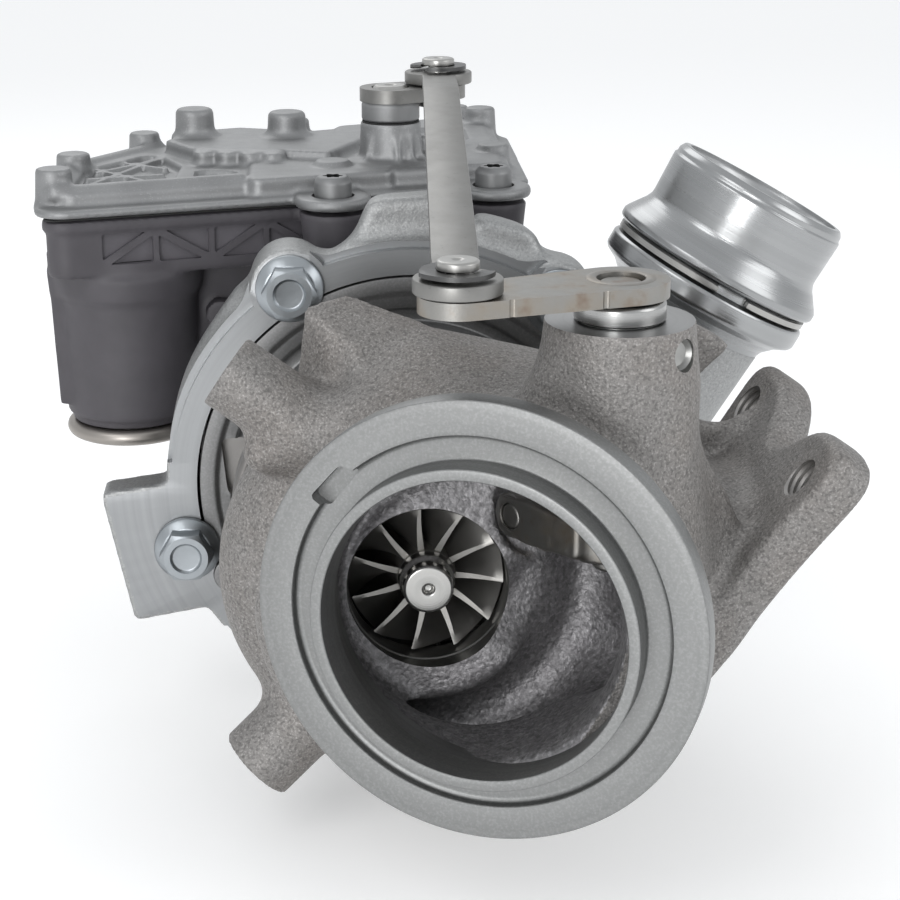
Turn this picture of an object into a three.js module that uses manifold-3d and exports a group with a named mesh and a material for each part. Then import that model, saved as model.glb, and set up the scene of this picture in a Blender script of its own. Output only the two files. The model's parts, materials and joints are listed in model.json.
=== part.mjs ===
// Turbocharger with an electric wastegate actuator.
//
// Units are millimetres, +Z is up. Everything is drawn about the shaft: the shaft turns on the Y
// axis, the turbine outlet looks towards -Y and the compressor inlet towards +Y, and y = 0 is the
// rim of the turbine bore. The finished group is then moved so that the origin is the middle of
// the manifold flange's face.
import * as THREE from "three";
import { ConvexGeometry } from "three/addons/geometries/ConvexGeometry.js";
import { mergeVertices } from "three/addons/utils/BufferGeometryUtils.js";
import Module from "manifold-3d";

const wasm = await Module();
wasm.setup();

// ---- driving dimensions -------------------------------------------------------------------

const GAP = 0.3; // left between two pieces that touch
const X = new THREE.Vector3(1, 0, 0);
const Y = new THREE.Vector3(0, 1, 0);
const Z = new THREE.Vector3(0, 0, 1);
const rad = THREE.MathUtils.degToRad;
const vec = (x, y, z) => new THREE.Vector3(x, y, z);

const turbine = {
  boreR: 15, wheelR: 20, blades: 11, hubR: 5.3, noseR: 4.1,
  scrollY: 17, scrollR: 33, sectionR: [9, 14.5], wall: 3.6,
  nozzleY: [12.5, 20], backY: 26, flangeR: 35, flangeY: [30, 35],
};
const outlet = {
  centre: vec(6.3, -36.5, 6.4), yaw: rad(22), faceR: 40.2, recessR: 33.9, recessDepth: 1.2,
  rimT: 5.5, ringR: [27.2, 29.3], ringRise: 3.6, barrelR: 33.5,
};
const manifold = {
  tilt: rad(35), offset: 50, thick: 9.5, y: 10, t: 39, holeR: 4.2,
  lobes: [[-13, 58], [32, 58], [-9, 20], [29, 20]], lobeR: 9.5, port: [12.5, 23],
};
const wastegate = {
  x: 33, y: -14, spotZ: 54.3, spotR: 13, shaftR: 4, bushR: 7.1, bushTop: 58,
  leverZ: 58.6, leverT: 3, seatR: 6.8, discR: 8.6, seat: vec(23, 0, 15),
};
const pinLow = vec(3.9, -24, 61.6); // wastegate lever to link
const hub = vec(-1.8, 108, 72.5); // actuator output, above the cover's tower
const pinHigh = vec(9.4, 112.5, 78.2); // actuator lever to link
const link = { width: 7.6, thick: 2.6, eyeR: 7.6, pinR: 3, clearR: 4.2 };
const compressor = {
  ringR: [46, 52.5], ringY: [57, 66], backY: 66.5, scrollY: 78, scrollR: [34, 40],
  sectionR: [6, 14], wall: 3, inletR: [18, 23.5], inletY: 121, inletCutY: 101, wheelR: 24, eyeR: 17.5,
  boltR: 50.4, boltAngles: [120, 195.5, 268, 340, 52], boltFaceY: 58,
};
const spigot = { lean: rad(29), boreR: 13.2, mouthR: 20.2, length: 90, cut: 60 };
const centre = { y: [35.6, 62.5], coreR: 19, boreR: 8, flangeR: 34, backplateR: 45.6 };
const shaft = { r: 4.2, neckR: 3, nutY: 112 };
const actuator = {
  outline: [[-78, 71.2], [28, 100.2], [29, 160], [21, 178], [-24, 158], [-58, 138], [-78, 108]],
  corner: 5, floorZ: 42, rimZ: 54.6, lipZ: 57.4, topZ: 61.3, wall: 2.2, lip: 2.5,
  motor: vec(-62, 92, 3), motorR: [13.2, 16], rimR: 12.4, towerR: 6.6, towerTop: 70.4,
};
const gears = { module: 1.5, pinion: 8, wheel: 33, small: 16, sector: 34, pinionZ: 50.2, smallZ: 44.6 };

const colours = {
  iron: { color: 0x7a716b, roughness: 0.75, metalness: 0.6 },
  castAluminium: { color: 0xb4b5b4, roughness: 0.55, metalness: 0.8 },
  machined: { color: 0xd2d4d6, roughness: 0.28, metalness: 1 },
  steel: { color: 0xa9a49a, roughness: 0.35, metalness: 1 },
  zinc: { color: 0xbcc3c9, roughness: 0.35, metalness: 1 },
  darkSteel: { color: 0x5a5650, roughness: 0.45, metalness: 1 },
  nickelAlloy: { color: 0x6d6a66, roughness: 0.4, metalness: 1 },
  bronze: { color: 0xb08a4e, roughness: 0.4, metalness: 1 },
  plastic: { color: 0x46434a, roughness: 0.55, metalness: 0 },
  rubber: { color: 0x1c1c1c, roughness: 0.9, metalness: 0 },
};

// ---- solids -------------------------------------------------------------------------------

// Every round shape's side count is scaled by this; hexagons are left alone.
const FINENESS = 0.5;
const round = (sides) => (sides > 8 ? Math.max(8, 2 * Math.round((sides * FINENESS) / 2)) : sides);

function solid(geometry) {
  const bare = geometry.clone();
  bare.deleteAttribute("normal");
  bare.deleteAttribute("uv");
  const merged = mergeVertices(bare, 1e-4);
  const triVerts = new Uint32Array(merged.index.array);
  return new wasm.Manifold(
    new wasm.Mesh({ numProp: 3, vertProperties: merged.attributes.position.array, triVerts }));
}

const join = (first, ...rest) => rest.reduce((sum, next) => sum.add(next), first);
const cut = (first, ...rest) => rest.reduce((left, next) => left.subtract(next), first);

// A matrix that carries +Z onto a direction and the origin onto a point.
function aim(point, direction) {
  const turn = new THREE.Quaternion().setFromUnitVectors(Z, direction.clone().normalize());
  return new THREE.Matrix4().compose(point, turn, vec(1, 1, 1));
}

// A matrix for a flat outline: its x runs along u, its y along v, and it is thick along u x v.
function plane(point, u, v) {
  return new THREE.Matrix4().makeBasis(u, v, u.clone().cross(v)).setPosition(point);
}

// A cylinder or cone from a point along a direction.
function rod(point, direction, length, r0, r1 = r0, sides = 32) {
  const geometry = new THREE.CylinderGeometry(r1, r0, length, round(sides));
  geometry.rotateX(Math.PI / 2).translate(0, 0, length / 2);
  return solid(geometry.applyMatrix4(aim(point, direction)));
}

function tube(point, direction, length, rOuter, rInner, sides = 32) {
  const start = point.clone().addScaledVector(direction, -1);
  return cut(rod(point, direction, length, rOuter, rOuter, sides),
    rod(start, direction, length + 2, rInner, rInner, sides));
}

function block(low, high) {
  const size = high.clone().sub(low);
  const middle = low.clone().addScaledVector(size, 0.5);
  return solid(new THREE.BoxGeometry(size.x, size.y, size.z).translate(middle.x, middle.y, middle.z));
}

// A turned shape: [radius, distance] pairs measured along a direction from a point.
function turned(profile, point, direction, sides = 48) {
  const points = profile.map(([r, d]) => new THREE.Vector2(r, d));
  if (profile[0][0] > 0) points.push(points[0].clone());
  const geometry = new THREE.LatheGeometry(points, round(sides));
  geometry.rotateX(Math.PI / 2);
  const made = solid(geometry.applyMatrix4(aim(point, direction)));
  return made.volume() < 0 ? flipped(geometry) : made;
}

function flipped(geometry) {
  const order = geometry.index.array;
  for (let i = 0; i < order.length; i += 3) [order[i], order[i + 1]] = [order[i + 1], order[i]];
  return solid(geometry);
}

function outlineShape(points) {
  return new THREE.Shape(points.map(([x, y]) => new THREE.Vector2(x, y)));
}

function plate(shape, depth, matrix, options = {}) {
  const geometry = new THREE.ExtrudeGeometry(shape, {
    depth, bevelEnabled: false, curveSegments: 5, ...options });
  return solid(geometry.applyMatrix4(matrix));
}

// A flat plate that wraps round two circles, with straight tangents between them.
function dogBone(a, ra, b, rb, steps = 12) {
  const axis = b.clone().sub(a);
  const heading = Math.atan2(axis.y, axis.x);
  const open = Math.acos((ra - rb) / axis.length());
  const points = [];
  for (let i = 0; i <= steps; i++) {
    const angle = heading + open + (2 * Math.PI - 2 * open) * (i / steps);
    points.push(new THREE.Vector2(a.x + ra * Math.cos(angle), a.y + ra * Math.sin(angle)));
  }
  for (let i = 0; i <= steps; i++) {
    const angle = heading - open + 2 * open * (i / steps);
    points.push(new THREE.Vector2(b.x + rb * Math.cos(angle), b.y + rb * Math.sin(angle)));
  }
  return new THREE.Shape(points);
}

// An outline with its corners rounded.
function rounded(points, r) {
  const shape = new THREE.Shape();
  const count = points.length;
  for (let i = 0; i < count; i++) {
    const at = new THREE.Vector2(...points[i]);
    const before = new THREE.Vector2(...points[(i + count - 1) % count]);
    const after = new THREE.Vector2(...points[(i + 1) % count]);
    const from = at.clone().addScaledVector(before.sub(at).normalize(), r);
    const to = at.clone().addScaledVector(after.sub(at).normalize(), r);
    if (i === 0) shape.moveTo(from.x, from.y);
    else shape.lineTo(from.x, from.y);
    shape.quadraticCurveTo(at.x, at.y, to.x, to.y);
  }
  shape.closePath();
  return shape;
}

// An outline moved inwards by a distance: every side is shifted along its own normal.
function inset(points, distance) {
  const count = points.length;
  return points.map((point, i) => {
    const at = new THREE.Vector2(...point);
    const a = at.clone().sub(new THREE.Vector2(...points[(i + count - 1) % count])).normalize();
    const b = new THREE.Vector2(...points[(i + 1) % count]).sub(at).normalize();
    const na = new THREE.Vector2(-a.y, a.x);
    const nb = new THREE.Vector2(-b.y, b.x);
    const mid = na.clone().add(nb);
    const moved = at.addScaledVector(mid, distance / (1 + na.dot(nb)));
    return [moved.x, moved.y];
  });
}

// A snail-shell passage round the Y axis. Its section and its distance from the axis both grow
// with the angle, which is counted from +X towards +Z.
function scroll({ y, from, to, radius, section, squash = 1, steps = 28, sides = 16 }) {
  const middleY = Array.isArray(y) ? y : [y, y];
  const geometry = new THREE.CylinderGeometry(1, 1, 1, round(sides), round(steps));
  const place = geometry.attributes.position;
  for (let i = 0; i < place.count; i++) {
    const t = place.getY(i) + 0.5;
    const angle = from + (to - from) * t;
    const r = THREE.MathUtils.lerp(section[0], section[1], t);
    const distance = THREE.MathUtils.lerp(radius[0], radius[1], t) + r * place.getX(i);
    const along = THREE.MathUtils.lerp(middleY[0], middleY[1], t);
    place.setXYZ(i, distance * Math.cos(angle), along + r * squash * place.getZ(i),
      distance * Math.sin(angle));
  }
  const made = solid(geometry);
  return made.volume() < 0 ? flipped(mergeVertices(geometry, 1e-4)) : made;
}

function hull(points) {
  return solid(new ConvexGeometry(points));
}

// Points round a circle, for a hull.
function circle(centre3, normal, r, sides = 28) {
  const matrix = aim(centre3, normal);
  const count = round(sides);
  return Array.from({ length: count }, (_, i) => {
    const angle = (2 * Math.PI * i) / count;
    return vec(r * Math.cos(angle), r * Math.sin(angle), 0).applyMatrix4(matrix);
  });
}

const turbocharger = new THREE.Group();

function add(name, body, colour) {
  const { vertProperties, triVerts } = body.getMesh();
  const geometry = new THREE.BufferGeometry();
  geometry.setAttribute("position", new THREE.BufferAttribute(vertProperties, 3));
  geometry.setIndex(new THREE.BufferAttribute(triVerts, 1));
  geometry.computeVertexNormals();
  const mesh = new THREE.Mesh(geometry, new THREE.MeshStandardMaterial(colour));
  mesh.name = name;
  turbocharger.add(mesh);
}

const onShaft = (y) => vec(0, y, 0);

// ---- turbine housing ----------------------------------------------------------------------

const outletOut = vec(-Math.sin(outlet.yaw), -Math.cos(outlet.yaw), 0);
const outletIn = outletOut.clone().negate();
const flangeOut = vec(Math.cos(manifold.tilt), 0, -Math.sin(manifold.tilt));
const flangeUp = vec(Math.sin(manifold.tilt), 0, Math.cos(manifold.tilt));

// A point given by its place along the manifold flange, and by its depth below the face.
function onFlange(y, t, depth = 0) {
  return vec(0, y, 0).addScaledVector(flangeUp, t).addScaledVector(flangeOut, manifold.offset - depth);
}

// The valve seat's plane holds the wastegate's own axis, so the disc leaves it squarely.
const seatArm = vec(wastegate.seat.x - wastegate.x, wastegate.seat.y - wastegate.y, 0);
const seatOut = Z.clone().cross(seatArm).normalize();

// The room that the valve sweeps: a sector round the wastegate's axis, from its seat outwards.
function valveSweep(r, halfHeight, angle) {
  const start = Math.atan2(seatArm.y, seatArm.x);
  const points = [[0, 0]];
  for (let i = 0; i <= 6; i++) {
    points.push([r * Math.cos(start + (angle * i) / 6), r * Math.sin(start + (angle * i) / 6)]);
  }
  const low = vec(wastegate.x, wastegate.y, wastegate.seat.z - halfHeight);
  return plate(outlineShape(points), 2 * halfHeight, plane(low, X, Y));
}

function outletBarrel() {
  const o = outlet;
  const rim = turned([
    [0, 0], [o.faceR - 0.8, 0], [o.faceR, 0.8], [o.faceR, o.rimT - 1], [o.barrelR + 0.8, o.rimT + 2.6],
    [o.barrelR, 14], [o.barrelR - 1.5, 30], [0, 30],
  ], o.centre, outletIn, 48);
  const ringBase = o.centre.clone().addScaledVector(outletIn, 2);
  const ring = rod(ringBase, outletOut, 2 + o.ringRise, o.ringR[1], o.ringR[1], 40);
  const recess = cut(rod(o.centre.clone().addScaledVector(outletIn, o.recessDepth), outletOut, 3,
    o.recessR, o.recessR, 48));
  return join(cut(rim, recess), ring);
}

function turbineOuter() {
  const t = turbine;
  const body = scroll({ y: t.scrollY, from: rad(-305), to: rad(-25), squash: 0.95,
    radius: [24.5, 33], section: [8.5, t.sectionR[1] + 0.5], steps: 32, sides: 24 });
  const core = turned([[0, -2], [22, -2], [30, 6], [34, 28], [t.flangeR, t.flangeY[0]],
    [t.flangeR, t.flangeY[1]], [0, t.flangeY[1]]], onShaft(0), Y, 32);
  const neck = hull([...circle(outlet.centre.clone().addScaledVector(outletIn, 9), outletIn, 32.5, 20),
    ...circle(vec(8, 10, 1), Y, 31, 20), ...circle(vec(24, 4, -12), Y, 24, 16)]);
  const gateBoss = rod(vec(wastegate.x, wastegate.y, 18), Z, wastegate.spotZ - 18, 16, wastegate.spotR, 24);
  const gateBulge = hull([...circle(vec(wastegate.x, wastegate.y, 46), Z, 14, 12),
    ...circle(vec(33, -10, -6), Z, 20, 14), ...circle(vec(38, 10, 8), Z, 17, 12)]);
  return join(core, body, neck, gateBoss, gateBulge);
}

function manifoldFlange() {
  const m = manifold;
  const shape = new THREE.Shape();
  const [near, far, nearLow, farLow] = m.lobes;
  const r = m.lobeR;
  // Each corner of the plate wraps a bolt lobe, with a waist between neighbours.
  shape.moveTo(near[0] - r, near[1]);
  shape.absarc(near[0], near[1], r, Math.PI, rad(50), true);
  shape.quadraticCurveTo(m.y - 3, near[1] - 3, far[0] - r * 0.65, far[1] + r * 0.76);
  shape.absarc(far[0], far[1], r, rad(130), rad(0), true);
  shape.quadraticCurveTo(far[0] + 5, m.t, farLow[0] + r, farLow[1]);
  shape.absarc(farLow[0], farLow[1], r, rad(0), rad(-90), true);
  shape.lineTo(nearLow[0], nearLow[1] - r);
  shape.absarc(nearLow[0], nearLow[1], r, rad(-90), rad(-180), true);
  shape.quadraticCurveTo(near[0] - 5, m.t, near[0] - r, near[1]);
  const at = vec(0, 0, 0).addScaledVector(flangeOut, m.offset - m.thick);
  return plate(shape, m.thick, plane(at, Y, flangeUp));
}

function flangeNeck() {
  const m = manifold;
  const top = [-9, 29].flatMap((y) => [16, 54].map((t) => onFlange(y, t, 6)));
  const root = [vec(30, -8, 16), vec(30, 28, 16), vec(18, -6, -26), vec(18, 28, -28), vec(36, 10, 24)];
  const gusset = hull([onFlange(-9, 60, 7), onFlange(-4, 60, 7), onFlange(-6, 30, 7),
    vec(38, -10, 44), vec(38, -5, 44), vec(38, -8, 4)]);
  const rib = hull([onFlange(26, 60, 7), onFlange(30, 60, 7), onFlange(28, 30, 7),
    vec(36, 16, 36), vec(36, 22, 36), vec(34, 20, 0)]);
  return join(hull([...top, ...root]), gusset, rib);
}

function turbineBosses() {
  const upper = rod(vec(-14, 18, 27), vec(-0.86, -0.3, 0.42), 27, 7.6, 7.6, 24);
  const lower = rod(vec(-10, 14, -19.5), vec(-0.72, -0.1, -0.69), 33, 8, 8, 24);
  const upperHole = rod(vec(-37, 10, 38.2), vec(-0.86, -0.3, 0.42), 9, 5, 5, 20);
  const lowerHole = rod(vec(-28, 11.5, -36.75), vec(-0.72, -0.1, -0.69), 12, 3.4, 3.4, 20);
  return { solids: [upper, lower], holes: [upperHole, lowerHole] };
}

function turbineCavity() {
  const t = turbine;
  const o = outlet;
  const gas = scroll({ y: t.scrollY, from: rad(-300), to: rad(-28), squash: 0.95,
    radius: [24.5, 32.5], section: [5.5, t.sectionR[1] - t.wall], steps: 24, sides: 16 });
  const wheelRoom = turned([[0, -4], [t.boreR, -4], [t.boreR, 4], [17, 8.5], [t.wheelR + 1, t.nozzleY[0]],
    [28, t.nozzleY[0]], [28, t.nozzleY[1]], [t.wheelR + 5, t.backY], [t.wheelR + 5, t.flangeY[1] + 1],
    [0, t.flangeY[1] + 1]], onShaft(0), Y, 32);
  const mouth = rod(o.centre.clone().addScaledVector(outletIn, 8), outletOut, 16, o.ringR[0], o.ringR[0], 40);
  const chamber = hull([...circle(o.centre.clone().addScaledVector(outletIn, 3), outletIn, 28.2, 24),
    ...circle(vec(9, -2, 0), Y, 25, 24)]);
  const bowl = hull([...circle(vec(16, -16, 0), outletIn, 21, 16), ...circle(vec(26, 1, -6), Y, 13, 16)]);
  const gateRoom = hull([...circle(vec(wastegate.x, wastegate.y, 4), Z, 9, 12),
    ...circle(vec(wastegate.x, wastegate.y, 26), Z, 9, 12), ...circle(vec(13, -8, 4), Z, 10, 12),
    ...circle(vec(13, -8, 25), Z, 10, 12)]);
  const gatePort = rod(wastegate.seat.clone().addScaledVector(seatOut, 3), seatOut.clone().negate(), 21,
    wastegate.seatR, wastegate.seatR, 24);
  const gateHole = rod(vec(wastegate.x, wastegate.y, 20), Z, 45, wastegate.bushR + GAP, wastegate.bushR + GAP, 28);
  return [gas, wheelRoom, mouth, chamber, bowl, gateRoom, gatePort, gateHole,
    valveSweep(seatArm.length() + 9.4, 9.6, rad(70))];
}

function inletPorts() {
  const m = manifold;
  return [-1, 1].map((side) => {
    const y = m.y + side * 8.2;
    const half = m.port[0] / 2;
    const outer = [[y - half, m.t - 11], [y + half, m.t - 11], [y + half, m.t + 11], [y - half, m.t + 11]]
      .map(([py, pt]) => onFlange(py, pt, -1));
    const inner = [[10.5, -1], [20.5, -1], [20.5, 1], [10.5, 1]]
      .map(([py, k]) => vec(27, py + side * 2, -13 + 8 * k));
    return hull([...outer, ...inner]);
  });
}

function turbineHousing() {
  const bosses = turbineBosses();
  let body = join(turbineOuter(), outletBarrel(), manifoldFlange(), flangeNeck(), ...bosses.solids);
  body = cut(body, ...turbineCavity(), ...inletPorts(), ...bosses.holes);
  for (const [y, t] of manifold.lobes) {
    body = cut(body, rod(onFlange(y, t, manifold.thick + 3), flangeOut, manifold.thick + 6, manifold.holeR,
      manifold.holeR, 24));
  }
  const sideHole = rod(vec(44, -16, 43), vec(0.9, -0.4, 0.1), 8, 2.6, 2.6, 16);
  return cut(body, sideHole);
}

// The manifold flange is its own solid, parted from the housing just behind its plate.
function flangeRoom(depth) {
  const m = manifold;
  const at = vec(0, 0, 0).addScaledVector(flangeOut, m.offset - depth);
  return plate(outlineShape([[-24, 4], [43, 4], [43, 72], [-24, 72]]), depth + 2, plane(at, Y, flangeUp));
}

const wholeTurbineHousing = turbineHousing();
add("turbine_housing", cut(wholeTurbineHousing, flangeRoom(manifold.thick - 0.1 + GAP)), colours.iron);
add("manifold_flange", wholeTurbineHousing.intersect(flangeRoom(manifold.thick - 0.1)), colours.iron);

// ---- wastegate: shaft, valve and outer lever ------------------------------------------------

const gateAxis = (z) => vec(wastegate.x, wastegate.y, z);

function wastegateBush() {
  const w = wastegate;
  const sleeve = tube(gateAxis(29), Z, w.bushTop - 29, w.bushR, w.shaftR + GAP, 28);
  return join(sleeve, tube(gateAxis(w.spotZ + GAP), Z, w.bushTop - w.spotZ - GAP, w.bushR + 1,
    w.shaftR + GAP, 28));
}

function wastegateShaft() {
  return rod(gateAxis(8), Z, wastegate.leverZ + 2.4 - 8, wastegate.shaftR, wastegate.shaftR, 24);
}

// The valve hangs from the shaft's lower end: an arm, a rivet and a disc that swivels on it.
function valveArm() {
  const w = wastegate;
  const back = w.seat.clone().addScaledVector(seatOut, 3.3);
  const eye = tube(gateAxis(w.seat.z - 4.5), Z, 9, 7.2, w.shaftR + GAP, 24);
  const along = seatArm.clone().normalize();
  const start = gateAxis(w.seat.z).addScaledVector(seatOut, 6.7);
  const length = seatArm.length();
  const bar = plate(outlineShape([[0, -3.2], [length - 3, -5], [length + 4, -4], [length + 4, 4],
    [length - 3, 5], [0, 3.2]]), 3.4, plane(start, along, Z));
  const hole = rod(back.clone().addScaledVector(seatOut, -6), seatOut, 14, 2.4 + GAP, 2.4 + GAP, 16);
  return cut(join(eye, bar), hole, rod(gateAxis(0), Z, 40, w.shaftR + GAP, w.shaftR + GAP, 24));
}

function valveDisc() {
  const w = wastegate;
  const face = w.seat.clone().addScaledVector(seatOut, GAP);
  const disc = turned([[0, 0], [w.discR - 0.8, 0], [w.discR, 0.8], [w.discR, 1.8], [w.discR - 2, 2.6],
    [0, 2.6]], face, seatOut, 28);
  return join(disc, rod(face, seatOut, 9.6, 2.4, 2.4, 16));
}

function outerLever() {
  const w = wastegate;
  const a = new THREE.Vector2(w.x, w.y);
  const b = new THREE.Vector2(pinLow.x, pinLow.y);
  const shape = dogBone(a, 8.6, b, 6.9, 10);
  const bar = plate(shape, w.leverT, plane(vec(0, 0, w.leverZ), X, Y));
  const weld = rod(gateAxis(w.leverZ + w.leverT + GAP - 0.9), Z, 1.5, 6, 5, 20);
  return cut(join(bar, weld), rod(gateAxis(w.leverZ - 2), Z, 12, w.shaftR + GAP, w.shaftR + GAP, 24),
    rod(vec(pinLow.x, pinLow.y, w.leverZ - 2), Z, 9, link.pinR + GAP, link.pinR + GAP, 20));
}

// A headed pin with a groove for its clip. The head is below and the clip above.
function headedPin(x, y, low, high, grooveZ) {
  return turned([[0, low], [5, low], [5, low + 1.6], [link.pinR, low + 1.6], [link.pinR, grooveZ],
    [link.pinR - 0.8, grooveZ], [link.pinR - 0.8, grooveZ + 1.2], [link.pinR, grooveZ + 1.2],
    [link.pinR, high - 0.5], [link.pinR - 0.5, high], [0, high]], vec(x, y, 0), Z, 20);
}

// An open-sided retaining clip.
function retainingClip(x, y, z, facing) {
  const shape = new THREE.Shape();
  const open = 0.62;
  shape.absarc(0, 0, 7, facing + open, facing - open + 2 * Math.PI, false);
  shape.absarc(0, 0, link.pinR - 0.8 + 0.15, facing - open + 2 * Math.PI, facing + open, true);
  return plate(shape, 0.8, plane(vec(x, y, z), X, Y), { curveSegments: 14 });
}

const linkZ = { low: wastegate.leverZ + wastegate.leverT + GAP, high: pinHigh.z };

function linkStrap() {
  const low = new THREE.Vector2(pinLow.x, pinLow.y);
  const high = new THREE.Vector2(pinHigh.x, pinHigh.y);
  const run = high.clone().sub(low);
  const length = run.length();
  const u = vec(run.x / length, run.y / length, 0);
  const side = vec(-u.y, u.x, 0);
  const rise = linkZ.high - linkZ.low;
  const t = link.thick;
  // The strap's side view: level at each eye, with one long slope between.
  const lower = [[0, 0], [17, 0], [24, 1.4], [length - 30, rise - 1.2], [length - 22, rise], [length, rise]];
  const upper = lower.map(([d, z]) => [d, z + t]).reverse();
  const profile = outlineShape([...lower, ...upper]);
  const start = vec(low.x, low.y, linkZ.low).addScaledVector(side, link.width / 2);
  const strap = plate(profile, link.width, plane(start, u, Z));
  const eyes = [[low, linkZ.low], [high, linkZ.high]].map(([p, z]) =>
    rod(vec(p.x, p.y, z), Z, t, link.eyeR, link.eyeR, 28));
  const holes = [[low, linkZ.low, link.clearR], [high, linkZ.high, link.pinR + GAP]].map(([p, z, r]) =>
    rod(vec(p.x, p.y, z - 3), Z, t + 6, r, r, 24));
  return cut(join(strap, ...eyes), ...holes);
}

add("wastegate_bush", wastegateBush(), colours.steel);
add("wastegate_shaft", wastegateShaft(), colours.steel);
add("valve_arm", valveArm(), colours.nickelAlloy);
add("valve_disc", valveDisc(), colours.nickelAlloy);
{
  const rivet = wastegate.seat.clone().addScaledVector(seatOut, 8.9);
  add("valve_washer", tube(rivet, seatOut, 1, 4.2, 2.4 + 0.15, 20), colours.steel);
}
add("wastegate_lever", outerLever(), colours.steel);
add("lever_pin", headedPin(pinLow.x, pinLow.y, wastegate.leverZ - GAP - 1.6, linkZ.low + 6,
  linkZ.low + link.thick + 1), colours.steel);
add("lever_clip", retainingClip(pinLow.x, pinLow.y, linkZ.low + link.thick + 1.2, rad(20)),
  colours.darkSteel);
add("link_strap", linkStrap(), colours.steel);


// ---- bearing housing and what turns in it ---------------------------------------------------

function bearingHousing() {
  const c = centre;
  let body = turned([[0, 28], [21, 28], [22.5, 30], [22.5, 35.6], [c.flangeR, 35.6], [c.flangeR, 40],
    [c.coreR + 3, 43], [c.coreR, 48], [c.coreR + 2, 54], [31, 56.5], [31, 62.4], [12, 62.4], [12, 59],
    [0, 59]], onShaft(0), Y, 36);
  const feed = rod(vec(0, 48.5, 10), Z, 20, 8.5, 8.5, 20);
  const drain = rod(vec(0, 48.5, -10), Z.clone().negate(), 23, 8.4, 8.4, 24);
  const foot = block(vec(-17, 40.5, -36), vec(17, 56.5, -31));
  body = join(body, feed, drain, foot);
  const shaftRoom = rod(onShaft(20), Y, 45, c.boreR, c.boreR, 32);
  return cut(body, shaftRoom, rod(vec(0, 48.5, 0), Z, 40, 3.8, 3.8, 16),
    rod(vec(0, 48.5, 0), Z.clone().negate(), 40, 6, 6, 20),
    rod(vec(-13, 48.5, -40), Z, 12, 2.1, 2.1, 12), rod(vec(13, 48.5, -40), Z, 12, 2.1, 2.1, 12));
}

function heatShield() {
  return turned([[9.5, 25.9], [24.4, 25.9], [24.4, 35.2], [23.5, 35.2], [23.5, 26.7], [9.5, 26.7]],
    onShaft(0), Y, 36);
}

function clampBand() {
  const band = turned([[35.9, 31.8], [38, 31.8], [38, 40.2], [35.9, 40.2]], onShaft(0), Y, 56);
  const direction = vec(-0.5, 0, -0.866);
  const lug = rod(direction.clone().multiplyScalar(36).setY(36), direction, 9, 4.2, 4.2, 20);
  return cut(join(band, lug), rod(direction.clone().multiplyScalar(30).setY(36), direction, 20, 2.3, 2.3, 16),
    rod(onShaft(30), Y, 12, 35.9, 35.9, 56));
}

// One blade: a flat leaf that holds the radius at an angle and leans to one side.
function leaf(angle, lean, yMiddle, length, r, thick) {
  const geometry = new THREE.BoxGeometry(r, length, thick).translate(r / 2, 0, 0);
  const pose = new THREE.Matrix4().makeRotationY(-angle)
    .multiply(new THREE.Matrix4().makeRotationX(lean)).setPosition(0, yMiddle, 0);
  return solid(geometry.applyMatrix4(pose));
}

function turbineWheel() {
  const s = shaft;
  const hubAndShaft = turned([[0, -3.4], [3.6, -3.4], [4.1, -2.9], [4.1, 2.8], [5.3, 3.4], [5.6, 8],
    [8.5, 15], [17, 23], [17, 24.4], [7.6, 25.2], [7.2, 34], [s.r, 35], [s.r, 59], [s.neckR, 59.2],
    [s.neckR, 94], [2.4, 95], [0, 95]], onShaft(0), Y, 28);
  const room = turned([[0, 2.5], [14.4, 2.5], [14.4, 4.6], [16.4, 9.4], [turbine.wheelR, 13.2],
    [turbine.wheelR, 19.6], [14, 23.6], [0, 23.6]], onShaft(0), Y, 33);
  const blades = Array.from({ length: turbine.blades }, (_, i) =>
    leaf((2 * Math.PI * i) / turbine.blades, rad(28), 12, 40, 22, 0.9).intersect(room));
  return join(hubAndShaft, ...blades);
}

function compressorWheel() {
  const room = turned([[0, 66.8], [compressor.wheelR - 0.3, 66.8], [compressor.wheelR - 0.3, 68.4],
    [19.6, 73.4], [17.3, 81], [17.3, 85], [0, 85]], onShaft(0), Y, 36);
  const hubBody = turned([[0, 66.8], [compressor.wheelR - 0.3, 66.8], [compressor.wheelR - 0.3, 67.8],
    [15, 70.5], [8, 77], [6, 84], [5.4, 88], [0, 88]], onShaft(0), Y, 28);
  const blades = Array.from({ length: 12 }, (_, i) => {
    const reach = i % 2 ? 78 : 85;
    const leafRoom = cut(room, rod(onShaft(reach), Y, 20, 30, 30, 16));
    return leaf((2 * Math.PI * i) / 12, rad(-26), 75, 40, 26, 0.8).intersect(leafRoom);
  });
  return cut(join(hubBody, ...blades), rod(onShaft(60), Y, 40, shaft.neckR + GAP, shaft.neckR + GAP, 20));
}

function thrustCollar() {
  return turned([[3.3, 59.6], [7, 59.6], [7, 60.4], [4.4, 60.4], [4.4, 62.6], [6.2, 62.6], [6.2, 66.4],
    [3.3, 66.4]], onShaft(0), Y, 24);
}

function thrustBearing() {
  const disc = turned([[4.8, 60.75], [11.6, 60.75], [11.6, 62.25], [4.8, 62.25]], onShaft(0), Y, 32);
  return cut(disc, block(vec(-4.8, 58, -14), vec(4.8, 64, 0)));
}

function ring(y, width, rOuter, rInner, sides = 28) {
  return tube(onShaft(y), Y, width, rOuter, rInner, sides);
}

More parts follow.
